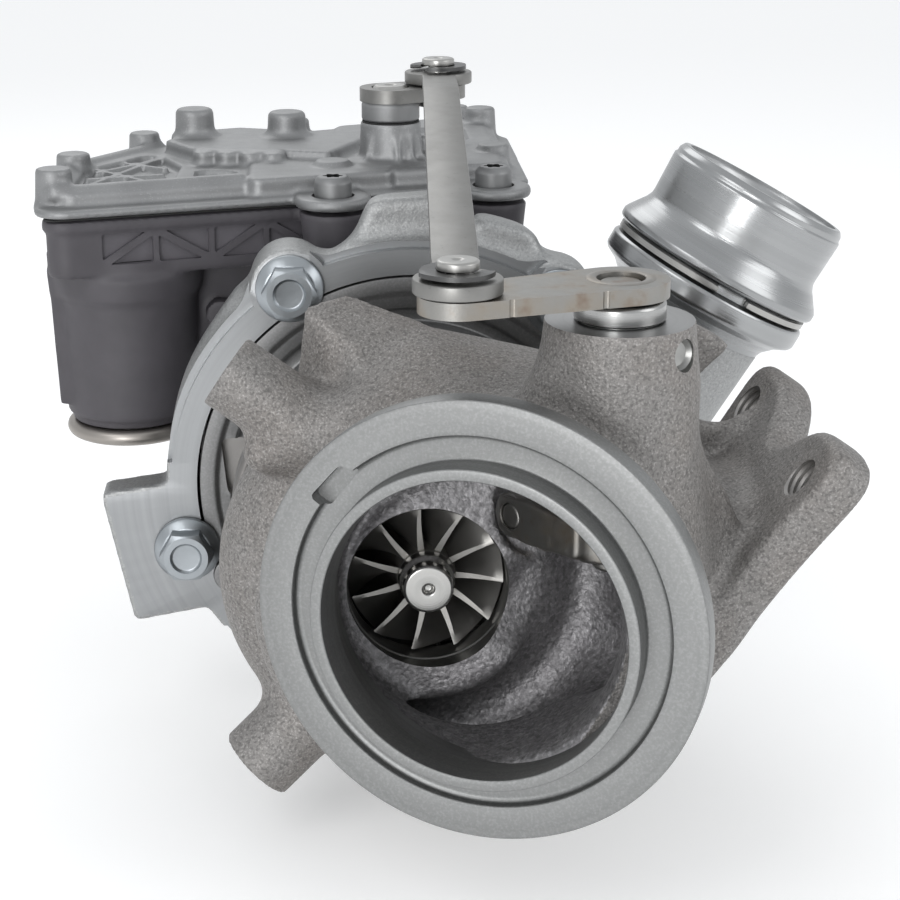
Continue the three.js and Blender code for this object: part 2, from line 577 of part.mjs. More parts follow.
add("bearing_housing", bearingHousing(), colours.iron);
add("heat_shield", heatShield(), colours.steel);
add("clamp_band", clampBand(), colours.steel);
add("bearing_turbine_side", ring(38, 7, 7.7, 4.5), colours.bronze);
add("bearing_spacer", ring(45.3, 6.4, 7.7, 5.2), colours.steel);
add("bearing_compressor_side", ring(52, 6.7, 7.7, 4.5), colours.bronze);
add("thrust_bearing", thrustBearing(), colours.bronze);
add("thrust_collar", thrustCollar(), colours.steel);
add("turbine_wheel", turbineWheel(), colours.nickelAlloy);
add("compressor_wheel", compressorWheel(), colours.machined);
add("shaft_nut", cut(rod(onShaft(88.3), Y, 5, 5.2, 5.2, 6),
  rod(onShaft(87), Y, 8, shaft.neckR + GAP, shaft.neckR + GAP, 20)), colours.darkSteel);

// ---- compressor -----------------------------------------------------------------------------

function backplate() {
  const r = centre.backplateR;
  const disc = turned([[6.6, 63], [31.4, 63], [31.4, 57.4], [35, 57.4], [36, 59.4], [40, 59.4], [41, 57.4],
    [r, 57.4], [r, 66.2], [6.6, 66.2]], onShaft(0), Y, 40);
  return disc;
}

// Two posts at the front carry the actuator by its ears, and a pad under it takes a screw.
const posts = [vec(-15.5, 83, 0), vec(20.5, 92.8, 0)];
const postTop = 44.2;
const pad = vec(12, 113, 0);

const spigotDirection = vec(Math.sin(spigot.lean), 0, Math.cos(spigot.lean));
const spigotStart = vec(compressor.scrollR[1] * Math.cos(spigot.lean), 79,
  -compressor.scrollR[1] * Math.sin(spigot.lean));

// The outlet spigot's turned outline: [radius, distance along it].
function spigotProfile() {
  const s = spigot;
  const end = s.length;
  return [[0, 0], [14.6, 0], [15.6, 40], [17, 54], [18.4, 60], [23.6, 63], [23.6, 66.5], [21.4, 67.4],
    [21.4, 69], [24, 70], [24, 72.5], [21, 76], [20.4, 80], [20.8, 86], [s.mouthR, end - 1.6],
    [s.mouthR - 1.4, end], [0, end]];
}

function compressorHousing() {
  const c = compressor;
  const core = turned([[0, 57], [c.ringR[1], 57], [c.ringR[1], 67], [46, 69], [38, 78], [33, 88], [26, 93],
    [c.inletR[1], 98], [c.inletR[1], 114], [c.inletR[1] + 1.4, 115], [c.inletR[1] + 1.4, c.inletY - 1],
    [c.inletR[1] + 0.6, c.inletY], [0, c.inletY]], onShaft(0), Y, 44);
  const shell = scroll({ y: [74, 79], from: rad(28), to: rad(334), radius: c.scrollR,
    section: [c.sectionR[0] + c.wall, c.sectionR[1] + 0.6], steps: 36, sides: 24 });
  const spout = turned(spigotProfile(), spigotStart, spigotDirection, 40);
  const lobes = c.boltAngles.map((angle) =>
    rod(vec(c.boltR * Math.cos(rad(angle)), 57, c.boltR * Math.sin(rad(angle))), Y, 12, 8, 8, 20));
  const a = actuator;
  const pillars = posts.map((p) => rod(vec(p.x, p.y, 20), Z, postTop - 20, 7, 5, 20));
  const pillar = rod(vec(pad.x, pad.y, 15), Z, a.floorZ - GAP - 15, 6.5, 5.5, 16);
  const humps = [[-1, 50], [23, 47]].map(([x, z]) => rod(vec(x, 60, z), Y, 16, 9, 8, 20));
  const webs = [[-1, 50], [23, 47]].map(([x, z]) => block(vec(x - 6, 62, z - 20), vec(x + 6, 74, z)));
  const lug = plate(outlineShape([[-45, -24], [-59, -29], [-64, -7], [-49, -2]].map(([x, z]) => [x, -z])),
    9, plane(vec(0, 66, 0), X, Z.clone().negate()).multiply(new THREE.Matrix4().makeTranslation(0, 0, -9)));
  return join(core, shell, spout, ...lobes, ...humps, ...webs, ...pillars, pillar, lug);
}

function compressorCavity() {
  const c = compressor;
  const room = turned([[0, 56], [c.ringR[0], 56], [c.ringR[0], c.backY], [41, c.backY], [41, 69.4],
    [c.wheelR + 0.4, 69.4], [20.3, 74], [c.eyeR + 0.4, 81.4], [c.inletR[0], 92], [c.inletR[0] + 1, 122],
    [0, 122]], onShaft(0), Y, 40);
  const gas = scroll({ y: [73, 79], from: rad(31), to: rad(333), radius: [35.5, 40],
    section: [4.6, c.sectionR[1] - 2.8], steps: 24, sides: 16 });
  const out = turned([[0, -2], [11.2, -2], [12, 40], [spigot.boreR, 62], [15.6, 80], [17.2, 95], [0, 95]],
    spigotStart, spigotDirection, 32);
  const bolts = c.boltAngles.map((angle) =>
    rod(vec(c.boltR * Math.cos(rad(angle)), 55, c.boltR * Math.sin(rad(angle))), Y, 12, 3.3, 3.3, 16));
  const threads = [...posts.map((p) => [p, postTop, 2.5]), [pad, actuator.floorZ, 2.5]]
    .map(([p, z, r]) => rod(vec(p.x, p.y, z - 14), Z, 20, r, r, 16));
  return [room, gas, out, ...bolts, ...threads];
}

// A flanged hexagon bolt: the head stands on a face and the shank goes into it.
function bolt(face, out, shankLength, across = 10) {
  const flange = turned([[0, 0], [across * 0.71, 0], [across * 0.71, 1.2], [across * 0.6, 2.4], [0, 2.4]],
    face, out, 24);
  const head = rod(face.clone().addScaledVector(out, 2), out, across * 0.45, across / 1.78, across / 1.78, 6);
  return join(flange, head, rod(face, out.clone().negate(), shankLength, across * 0.3, across * 0.3, 16));
}

add("compressor_backplate", backplate(), colours.castAluminium);
// The housing is three solids: the volute with its ring, the inlet collar and the outlet spigot.
const inletRoom = (y) => block(vec(-30, y, -30), vec(30, 130, 60));
const spigotRoom = (s) =>
  rod(spigotStart.clone().addScaledVector(spigotDirection, s), spigotDirection, 60, 40, 40, 24);
const wholeCompressorHousing = cut(compressorHousing(), ...compressorCavity());
add("compressor_housing", cut(wholeCompressorHousing, inletRoom(compressor.inletCutY),
  spigotRoom(spigot.cut)), colours.castAluminium);
add("compressor_inlet", wholeCompressorHousing.intersect(inletRoom(compressor.inletCutY + GAP)),
  colours.castAluminium);
add("compressor_spigot", wholeCompressorHousing.intersect(spigotRoom(spigot.cut + GAP)),
  colours.machined);
compressor.boltAngles.forEach((angle, i) => {
  const at = vec(compressor.boltR * Math.cos(rad(angle)), 57 - GAP, compressor.boltR * Math.sin(rad(angle)));
  add(`housing_bolt_${i + 1}`, bolt(at, Y.clone().negate(), 9), colours.zinc);
});
add("spigot_clip", tube(spigotStart.clone().addScaledVector(spigotDirection, 67.6), spigotDirection, 1.2,
  22.8, 21.75, 40), colours.steel);

// ---- actuator -------------------------------------------------------------------------------

const body = (distance) => rounded(inset(actuator.outline, distance), Math.max(actuator.corner - distance, 1));
const flat = (z) => plane(vec(0, 0, z), X, Y);
const motorAt = (z) => vec(actuator.motor.x, actuator.motor.y, z);

// The intermediate gear's centre, from its distances to the motor and to the output.
const middle = (() => {
  const g = gears;
  const toMotor = (g.module * (g.pinion + g.wheel)) / 2;
  const toHub = (g.module * (g.small + g.sector)) / 2;
  const between = vec(hub.x - actuator.motor.x, hub.y - actuator.motor.y, 0);
  const d = between.length();
  const a = (toMotor ** 2 - toHub ** 2 + d ** 2) / (2 * d);
  const h = Math.sqrt(toMotor ** 2 - a ** 2);
  const u = between.normalize();
  return vec(actuator.motor.x + a * u.x - h * u.y, actuator.motor.y + a * u.y + h * u.x, 0);
})();

function actuatorBody() {
  const a = actuator;
  const can = rod(motorAt(5.4), Z, a.rimZ - 9 - 5.4, a.motorR[0], a.motorR[1], 32);
  const tray = plate(body(0.7), a.rimZ - a.floorZ, flat(a.floorZ));
  const rim = plate(body(0), 2.4, flat(a.rimZ - 2.4));
  const boss = rod(vec(hub.x, hub.y, a.floorZ - 3), Z, 5.8, 7, 7, 24);
  const plug = block(vec(-27, 150, a.floorZ + 0.8), vec(-3, 174, a.rimZ - 2.8));
  const ears = posts.map((p) => rod(vec(p.x, p.y, postTop + GAP), Z, a.rimZ - postTop - GAP, 6.4, 7.2, 20));
  const inside = plate(body(0.7 + a.wall), 30, flat(a.floorZ + a.wall));
  const canRoom = rod(motorAt(4), Z, 60, a.motorR[0] - 0.9, a.motorR[0] - 0.5, 28);
  const plugRoom = block(vec(-25, 166, a.floorZ + 2.6), vec(-5, 180, a.rimZ - 4.6));
  return cut(join(cut(join(can, tray, rim, ...ears), inside, canRoom), boss, cut(plug, inside)), plugRoom,
    rod(vec(hub.x, hub.y, a.floorZ - 1), Z, 20, 4.3, 4.3, 20),
    ...posts.map((p) => rod(vec(p.x, p.y, postTop - 2), Z, 20, 2.5, 2.5, 16)),
    rod(vec(pad.x, pad.y, a.floorZ - 4), Z, 8, 2.5, 2.5, 12));
}

function coverStuds() {
  const a = actuator;
  const [p0, p1, p2, p3, p4, p5, p6] = inset(a.outline, 5.2);
  const between = (p, q, t) => [p[0] + (q[0] - p[0]) * t, p[1] + (q[1] - p[1]) * t];
  return [p0, between(p0, p1, 0.6), p1, between(p2, p3, 0.3), between(p4, p3, 0.15), p5, p6];
}

function actuatorCover() {
  const a = actuator;
  const base = a.rimZ + 1;
  const skirt = plate(body(-a.lip + 1), a.lipZ - base, flat(base));
  const shape = body(2.5);
  const top = plate(shape, a.topZ - base, flat(base));
  const studs = coverStuds().map(([x, y]) => rod(vec(x, y, base), Z, a.topZ + 3 - base, 3.9, 3.4, 16));
  const tower = rod(vec(hub.x, hub.y, base), Z, a.towerTop - base, a.towerR + 0.8, a.towerR, 28);
  const raised = rod(vec(middle.x, middle.y, base), Z, a.topZ + 2.4 - base, 27, 26, 32);
  const room = plate(body(1.2 + a.wall + 2), a.topZ - 2.6 - base + 5, flat(base - 5));
  const notches = posts.map((p) => rod(vec(p.x, p.y, base - 2), Z, 20, 4.6, 4.6, 20));
  return cut(join(skirt, top, ...studs, tower, raised), room, ...notches,
    rod(vec(hub.x, hub.y, 50), Z, 40, 4.3, 4.3, 20));
}

function coverGasket() {
  const a = actuator;
  const outer = body(0.6);
  outer.holes.push(new THREE.Path(body(3.4).getPoints(4).reverse()));
  return plate(outer, 0.4, flat(a.rimZ + 0.3), { curveSegments: 4 });
}

// A gear's outline: trapezoid teeth, thinned so that a pair meshes with backlash.
function gearShape(teeth, { start = 0, count = teeth, phase = 0, backlash = 0.17 } = {}) {
  const m = gears.module;
  const pitch = (2 * Math.PI) / teeth;
  const r = (m * teeth) / 2;
  const root = r - 1.2 * m;
  const tip = r + 0.86 * m;
  const points = [];
  const put = (radius, angle) => points.push([radius * Math.cos(angle), radius * Math.sin(angle)]);
  for (let i = 0; i < count; i++) {
    const at = phase + (start + i) * pitch;
    const half = (width) => (width * m) / (2 * r);
    put(root, at - half(2.1 - backlash * 2));
    put(tip, at - half(0.78));
    put(tip, at + half(0.78));
    put(root, at + half(2.1 - backlash * 2));
  }
  return points;
}

function spurGear(centre2, z, width, teeth, phase, boreR, plateR = 0) {
  const shape = outlineShape(gearShape(teeth, { phase }));
  const gear = plate(shape, width, plane(vec(centre2.x, centre2.y, z), X, Y));
  return cut(gear, rod(vec(centre2.x, centre2.y, z - 1), Z, width + 2, boreR, boreR, 20));
}

const direct = (from, to) => Math.atan2(to.y - from.y, to.x - from.x);

function intermediateGear() {
  const g = gears;
  const toMotor = direct(middle, actuator.motor);
  const toHub = direct(middle, hub);
  const big = spurGear(middle, g.pinionZ, 4, g.wheel, toMotor, 2.3);
  const small = spurGear(middle, g.smallZ + 0.3, g.pinionZ - g.smallZ, g.small, toHub, 2.3);
  return join(big, small);
}

function motorPinion() {
  const g = gears;
  const phase = direct(actuator.motor, middle) + Math.PI / g.pinion;
  return spurGear(actuator.motor, g.pinionZ - 1, 6, g.pinion, phase, 1.3);
}

function outputSector() {
  const g = gears;
  const pitch = (2 * Math.PI) / g.sector;
  const first = direct(hub, middle) - pitch / 2;
  const teeth = gearShape(g.sector, { phase: first, start: 0, count: 5 });
  const spread = 10;
  const shape = outlineShape([...teeth, [-3, -spread], [6, -5], [7, 5], [0, spread - 1]]);
  const arm = plate(shape, 4, plane(vec(hub.x, hub.y, g.smallZ + 0.6), X, Y));
  const ringHub = rod(vec(hub.x, hub.y, g.smallZ + 0.6), Z, 7, 8, 8, 24);
  return cut(join(arm, ringHub), rod(vec(hub.x, hub.y, 40), Z, 30, 4 + GAP, 4 + GAP, 20));
}

function outputLever() {
  const a = new THREE.Vector2(hub.x, hub.y);
  const b = new THREE.Vector2(pinHigh.x, pinHigh.y);
  const z = pinHigh.z - GAP - 3;
  const bar = plate(dogBone(a, 7, b, 6.2, 10), 3, plane(vec(0, 0, z), X, Y));
  const collar = rod(vec(hub.x, hub.y, hub.z - 2), Z, z - hub.z + 3, 6.4, 6.4, 24);
  return cut(join(bar, collar), rod(vec(hub.x, hub.y, 70), Z, 20, 4 + GAP, 4 + GAP, 24),
    rod(vec(pinHigh.x, pinHigh.y, z - 2), Z, 8, link.pinR + GAP, link.pinR + GAP, 20));
}

function motor() {
  return rod(motorAt(6.2), Z, gears.pinionZ - 2 - 6.2, actuator.motorR[0] - 1.6, actuator.motorR[0] - 1.6, 28);
}

add("actuator_body", actuatorBody(), colours.plastic);
add("actuator_cover", actuatorCover(), colours.castAluminium);
add("cover_gasket", coverGasket(), colours.rubber);
add("motor", motor(), colours.steel);
add("motor_cap", turned([[0, 3], [actuator.rimR - 1, 3], [actuator.rimR, 4], [actuator.motorR[0] - 0.2, 5.1],
  [0, 5.1]], motorAt(0), Z, 32), colours.steel);
add("motor_pinion", motorPinion(), colours.steel);
add("intermediate_gear", intermediateGear(), colours.bronze);
add("intermediate_axle", rod(vec(middle.x, middle.y, actuator.floorZ + actuator.wall + GAP), Z, 14, 2, 2, 16),
  colours.steel);
add("output_sector", outputSector(), colours.steel);
add("output_shaft", rod(vec(hub.x, hub.y, actuator.floorZ + 0.5), Z, pinHigh.z - GAP - actuator.floorZ, 4, 4, 24),
  colours.steel);
add("output_lever", outputLever(), colours.steel);
add("output_pin", headedPin(pinHigh.x, pinHigh.y, pinHigh.z - 2 * GAP - 3 - 1.6, pinHigh.z + link.thick + 3,
  pinHigh.z + link.thick + 0.4), colours.steel);
add("output_clip", retainingClip(pinHigh.x, pinHigh.y, pinHigh.z + link.thick + 0.6, rad(-150)),
  colours.darkSteel);
// A screw with a domed round head.
function domedScrew(x, y, z, headR, headHeight, shankLength) {
  const profile = [[0, -shankLength], [2.2, -shankLength], [2.2, 0], [headR, 0], [headR, headHeight - 1.2],
    [headR - 1.2, headHeight], [0, headHeight]];
  return turned(profile, vec(x, y, z), Z, 24);
}

posts.forEach((p, i) => add(`actuator_screw_${i + 1}`,
  domedScrew(p.x, p.y, actuator.rimZ + GAP, 4, 7.4, 22), colours.steel));
add("actuator_screw_3", domedScrew(pad.x, pad.y, actuator.floorZ + actuator.wall + GAP, 4, 2.6, 11),
  colours.zinc);

// ---- placing --------------------------------------------------------------------------------

const origin = onFlange(manifold.y, manifold.t);
turbocharger.position.copy(origin).negate();
const finished = new THREE.Group();
finished.add(turbocharger);

export default finished;
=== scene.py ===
# Turbocharger with an electric wastegate actuator: the looks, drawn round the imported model.
#
# Shapes are drawn in millimetres about the shaft: x to the right, y along the shaft away from the
# turbine's mouth, z up. Each finished piece is then scaled to metres and moved into the model's
# own frame. Cast bodies are distance fields, joined with soft fillets and turned into meshes;
# machined faces are then cut into them, or joined on, as turned and extruded solids.
import json
import math

import bmesh
import bpy
import numpy as np
from mathutils import Matrix, Vector


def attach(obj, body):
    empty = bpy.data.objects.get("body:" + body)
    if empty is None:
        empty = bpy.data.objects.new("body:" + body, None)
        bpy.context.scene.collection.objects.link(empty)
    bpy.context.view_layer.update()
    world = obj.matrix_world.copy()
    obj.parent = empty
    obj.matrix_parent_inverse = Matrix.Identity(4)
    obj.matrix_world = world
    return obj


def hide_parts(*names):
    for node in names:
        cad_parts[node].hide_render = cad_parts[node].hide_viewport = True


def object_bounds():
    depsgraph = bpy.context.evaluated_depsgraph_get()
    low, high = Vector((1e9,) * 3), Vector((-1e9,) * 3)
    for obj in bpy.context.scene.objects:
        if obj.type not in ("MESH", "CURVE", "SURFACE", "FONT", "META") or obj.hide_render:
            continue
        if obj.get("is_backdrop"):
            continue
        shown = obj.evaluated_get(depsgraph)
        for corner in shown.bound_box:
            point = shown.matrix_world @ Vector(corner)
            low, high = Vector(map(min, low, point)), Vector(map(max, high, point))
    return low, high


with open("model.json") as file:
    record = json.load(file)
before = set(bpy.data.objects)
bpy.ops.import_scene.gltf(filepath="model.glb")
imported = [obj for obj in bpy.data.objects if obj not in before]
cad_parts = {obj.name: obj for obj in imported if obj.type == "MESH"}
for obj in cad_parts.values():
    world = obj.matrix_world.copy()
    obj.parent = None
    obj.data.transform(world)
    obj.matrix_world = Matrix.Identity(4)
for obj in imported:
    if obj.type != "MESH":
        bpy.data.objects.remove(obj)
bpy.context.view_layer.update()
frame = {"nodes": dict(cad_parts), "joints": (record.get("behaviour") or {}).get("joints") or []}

JOINTS = {joint["name"]: joint for joint in frame["joints"]}
MM = 0.001
# The model's place of the shaft's point at the rim of the turbine bore.
SHAFT = Vector(JOINTS["rotor_spin"]["pos_m"]) - Vector((0, 48 * MM, 0))


def place_of(joint):
    """A joint's place in millimetres about the shaft."""
    return np.array((Vector(JOINTS[joint]["pos_m"]) - SHAFT) / MM)


X, Y, Z = (np.array(v, float) for v in ((1, 0, 0), (0, 1, 0), (0, 0, 1)))


# ---- driving dimensions, in millimetres and degrees ------------------------------------------

OUTLET = np.array((6.3, -36.5, 6.4))
OUTLET_YAW = math.radians(22)
OUTLET_OUT = np.array((-math.sin(OUTLET_YAW), -math.cos(OUTLET_YAW), 0))
FLANGE_TILT = math.radians(35)
FLANGE_OUT = np.array((math.cos(FLANGE_TILT), 0, -math.sin(FLANGE_TILT)))
FLANGE_UP = np.array((math.sin(FLANGE_TILT), 0, math.cos(FLANGE_TILT)))
FLANGE_OFFSET, FLANGE_THICK = 50, 9.5
FLANGE_BOLTS = ((-13, 58), (32, 58), (-9, 20), (29, 20))
GATE = place_of("wastegate_turn")
SEAT = np.array((23, 0, 15))
HUB = place_of("actuator_turn")
PIN_HIGH = place_of("link_pivot")
PIN_LOW = np.array((3.9, -24, 61.6))
MOTOR = place_of("pinion_spin")
SPIGOT_LEAN = math.radians(29)
SPIGOT_OUT = np.array((math.sin(SPIGOT_LEAN), 0, math.cos(SPIGOT_LEAN)))
SPIGOT = np.array((40 * math.cos(SPIGOT_LEAN), 79, -40 * math.sin(SPIGOT_LEAN)))
# Axes, each as a point and a direction.
SHAFT_AXIS, SPIGOT_AXIS = ((0, 0, 0), Y), (SPIGOT, SPIGOT_OUT)
GATE_AXIS, HUB_AXIS = ((*GATE[:2], 0), Z), ((*HUB[:2], 0), Z)
BOLT_RADIUS, BOLT_ANGLES = 50.4, (120, 195.5, 268, 340, 52)
ACTUATOR = ((-78, 71.2), (28, 100.2), (29, 160), (21, 178), (-24, 158), (-58, 138), (-78, 108))
POSTS, REAR_POST = ((-15.5, 83), (20.5, 92.8)), (12, 113)
OIL_Y = 48.5
LEVER_Z, STRAP_Z = 58.6, 61.9
TURBINE_BLADES, COMPRESSOR_BLADES = 11, 12
FLOOR_Z, RIM_Z, LIP_Z = 42, 54.6, 57.4


def along(point, direction, distance):
    """The point at a distance from another one, in a direction."""
    return np.array(point, float) + np.array(direction, float) * distance


def on_flange(y, t, depth=0.0):
    """A point by its place along the manifold flange and its depth below the face."""
    return Y * y + FLANGE_UP * t + FLANGE_OUT * (FLANGE_OFFSET - depth)


def ring_point(radius, degrees, y=0.0):
    """A point round the shaft, by radius and angle: 0 is right, 90 is up."""
    return np.array((radius * math.cos(math.radians(degrees)), y, radius * math.sin(math.radians(degrees))))


# ---- distance fields --------------------------------------------------------------------------

class Shape:
    """A signed distance in millimetres, negative inside, with the box that holds it."""

    def __init__(self, distance, low, high):
        self.distance, self.low, self.high = distance, np.array(low, float), np.array(high, float)


def soft_min(a, b, reach):
    """The lower of two distances, blended by a fillet where they are about equal."""
    near = np.maximum(reach - np.abs(a - b), 0) / reach
    return np.minimum(a, b) - near * near * reach * 0.25


def eased_corner(u, v, edge):
    """The corner of two distances, rounded by a radius."""
    u, v = u + edge, v + edge
    return np.minimum(np.maximum(u, v), 0) + np.hypot(np.maximum(u, 0), np.maximum(v, 0)) - edge


def polygon(u, v, points, mirror_axis=False):
    """Distance to an outline. With mirror_axis its sides on the line u = 0 don't count."""
    best, inside = np.float32(1e9), False
    for (ax, ay), (bx, by) in zip(points, points[1:] + points[:1]):
        ex, ey = bx - ax, by - ay
        wx, wy = u - ax, v - ay
        if not (mirror_axis and ax == 0 and bx == 0):
            t = np.clip((wx * ex + wy * ey) / (ex * ex + ey * ey), 0, 1)
            best = np.minimum(best, (wx - ex * t) ** 2 + (wy - ey * t) ** 2)
        crossed = ((ay > v) != (by > v)) & ((ex * wy - ey * wx > 0) == (by > ay))
        inside = inside ^ crossed
    return np.where(inside, -1, 1) * np.sqrt(best)


def across(x, y, z, point, direction):
    """Distance along a line from its point, and distance from the line."""
    px, py, pz = x - point[0], y - point[1], z - point[2]
    s = px * direction[0] + py * direction[1] + pz * direction[2]
    return s, np.sqrt(np.maximum(px * px + py * py + pz * pz - s * s, 0))


def rod(a, b, ra, rb=None, edge=1.0):
    """A cylinder or cone between two points, its rims rounded."""
    a, b = np.array(a, float), np.array(b, float)
    rb = ra if rb is None else rb
    length = float(np.linalg.norm(b - a))
    direction = (b - a) / length

    def distance(x, y, z):
        s, off = across(x, y, z, a, direction)
        wall = off - (ra + (rb - ra) * np.clip(s / length, 0, 1))
        return eased_corner(wall, np.abs(s - length / 2) - length / 2, edge)

    reach = max(ra, rb)
    return Shape(distance, np.minimum(a, b) - reach, np.maximum(a, b) + reach)


def blob(a, b, ra, rb=None):
    """A cylinder or cone with ball ends."""
    a, b = np.array(a, float), np.array(b, float)
    rb = ra if rb is None else rb
    length = float(np.linalg.norm(b - a))
    direction = (b - a) / length

    def distance(x, y, z):
        px, py, pz = x - a[0], y - a[1], z - a[2]
        s = np.clip(px * direction[0] + py * direction[1] + pz * direction[2], 0, length)
        gap = (px - s * direction[0]) ** 2 + (py - s * direction[1]) ** 2 + (pz - s * direction[2]) ** 2
        return np.sqrt(gap) - (ra + (rb - ra) * s / length)

    reach = max(ra, rb)
    return Shape(distance, np.minimum(a, b) - reach, np.maximum(a, b) + reach)


def spun(profile):
    """A shape turned round the shaft, from [radius, y] pairs, the first and last of them on the axis."""

    def distance(x, y, z):
        s, off = across(x, y, z, (0, 0, 0), Y)
        return polygon(off, s, profile, mirror_axis=True)

    reach = max(r for r, _ in profile)
    low, high = profile[0][1], profile[-1][1]
    return Shape(distance, (-reach, low - reach, -reach), (reach, high + reach, reach))


def upright(x, y, low, high, ra, rb=None, edge=1.0):
    """A vertical cylinder or cone between two heights."""
    return rod((x, y, low), (x, y, high), ra, rb, edge)


def slab(outline, low, high, u=X, v=Y, corner=0.0, edge=0.6):
    """An outline in the plane of u and v, thick from low to high along their normal."""
    normal = np.cross(u, v)
    core = inset(outline, corner) if corner else list(outline)

    def distance(x, y, z):
        pu, pv, pn = (x * d[0] + y * d[1] + z * d[2] for d in (u, v, normal))
        return eased_corner(polygon(pu, pv, core) - corner,
                            np.abs(pn - (low + high) / 2) - (high - low) / 2, edge)

    corners = [u * a + v * b + normal * n for a, b in outline for n in (low, high)]
    return Shape(distance, np.min(corners, 0), np.max(corners, 0))


def hull(points, reach=2.0):
    """The convex body round some points, its edges softened."""
    built = bmesh.new()
    for p in points:
        built.verts.new(p)
    bmesh.ops.convex_hull(built, input=built.verts)
    middle = np.mean(points, 0)
    planes = {}
    for face in built.faces:
        normal = np.array(face.normal)
        offset = normal @ np.array(face.verts[0].co)
        if normal @ middle > offset:
            normal, offset = -normal, -offset
        planes[tuple(np.round((*normal, offset), 2))] = (normal, offset)
    built.free()

    def distance(x, y, z):
        best = None
        for normal, offset in planes.values():
            side = x * normal[0] + y * normal[1] + z * normal[2] - offset
            best = side if best is None else -soft_min(-best, -side, reach)
        return best

    return Shape(distance, np.min(points, 0), np.max(points, 0))


def snail(y, angles, radius, section, squash=1.0):
    """A snail-shell passage round the shaft: its section and its radius grow along the angle."""
    start, stop = (math.radians(a) for a in angles)

    def distance(x, py, z):
        turn = np.mod(np.arctan2(z, x) - start, 2 * math.pi) / (stop - start)
        slack = 2 * math.pi / (stop - start)
        t = np.where(turn <= 1, turn, np.where(turn - 1 < (slack - 1) / 2, 1, 0))
        angle = start + t * (stop - start)
        r = radius[0] + (radius[1] - radius[0]) * t
        gap = (x - r * np.cos(angle)) ** 2 + (z - r * np.sin(angle)) ** 2
        gap = gap + ((py - (y[0] + (y[1] - y[0]) * t)) / squash) ** 2
        return np.sqrt(gap) - (section[0] + (section[1] - section[0]) * t)

    reach, thick = max(radius) + max(section), max(section)
    return Shape(distance, (-reach, min(y) - thick, -reach), (reach, max(y) + thick, reach))


def inset(points, distance):
    """An outline moved inwards: each corner slides along its bisector."""
    moved = []
    for i, point in enumerate(points):
        at = np.array(point, float)
        a = at - points[i - 1]
        b = points[(i + 1) % len(points)] - at
        a, b = a / np.linalg.norm(a), b / np.linalg.norm(b)
        na, nb = np.array((-a[1], a[0])), np.array((-b[1], b[0]))
        moved.append(tuple(at + (na + nb) * distance / (1 + na @ nb)))
    return moved


def unpinch(f):
    """Fills the grid points where two walls would meet along one edge, so that every skin is closed."""
    for u, v in ((0, 1), (0, 2), (1, 2)) * 3:
        parts = []
        for i, j in ((0, 0), (1, 1), (1, 0), (0, 1)):
            spans = [slice(None)] * 3
            spans[u], spans[v] = slice(i, f.shape[u] - 1 + i), slice(j, f.shape[v] - 1 + j)
            parts.append(f[tuple(spans)])
        a, b, c, d = (part < 0 for part in parts)
        crossed = (a == b) & (c == d) & (a != c)
        for part in parts:
            part[crossed & (part >= 0)] = -0.05


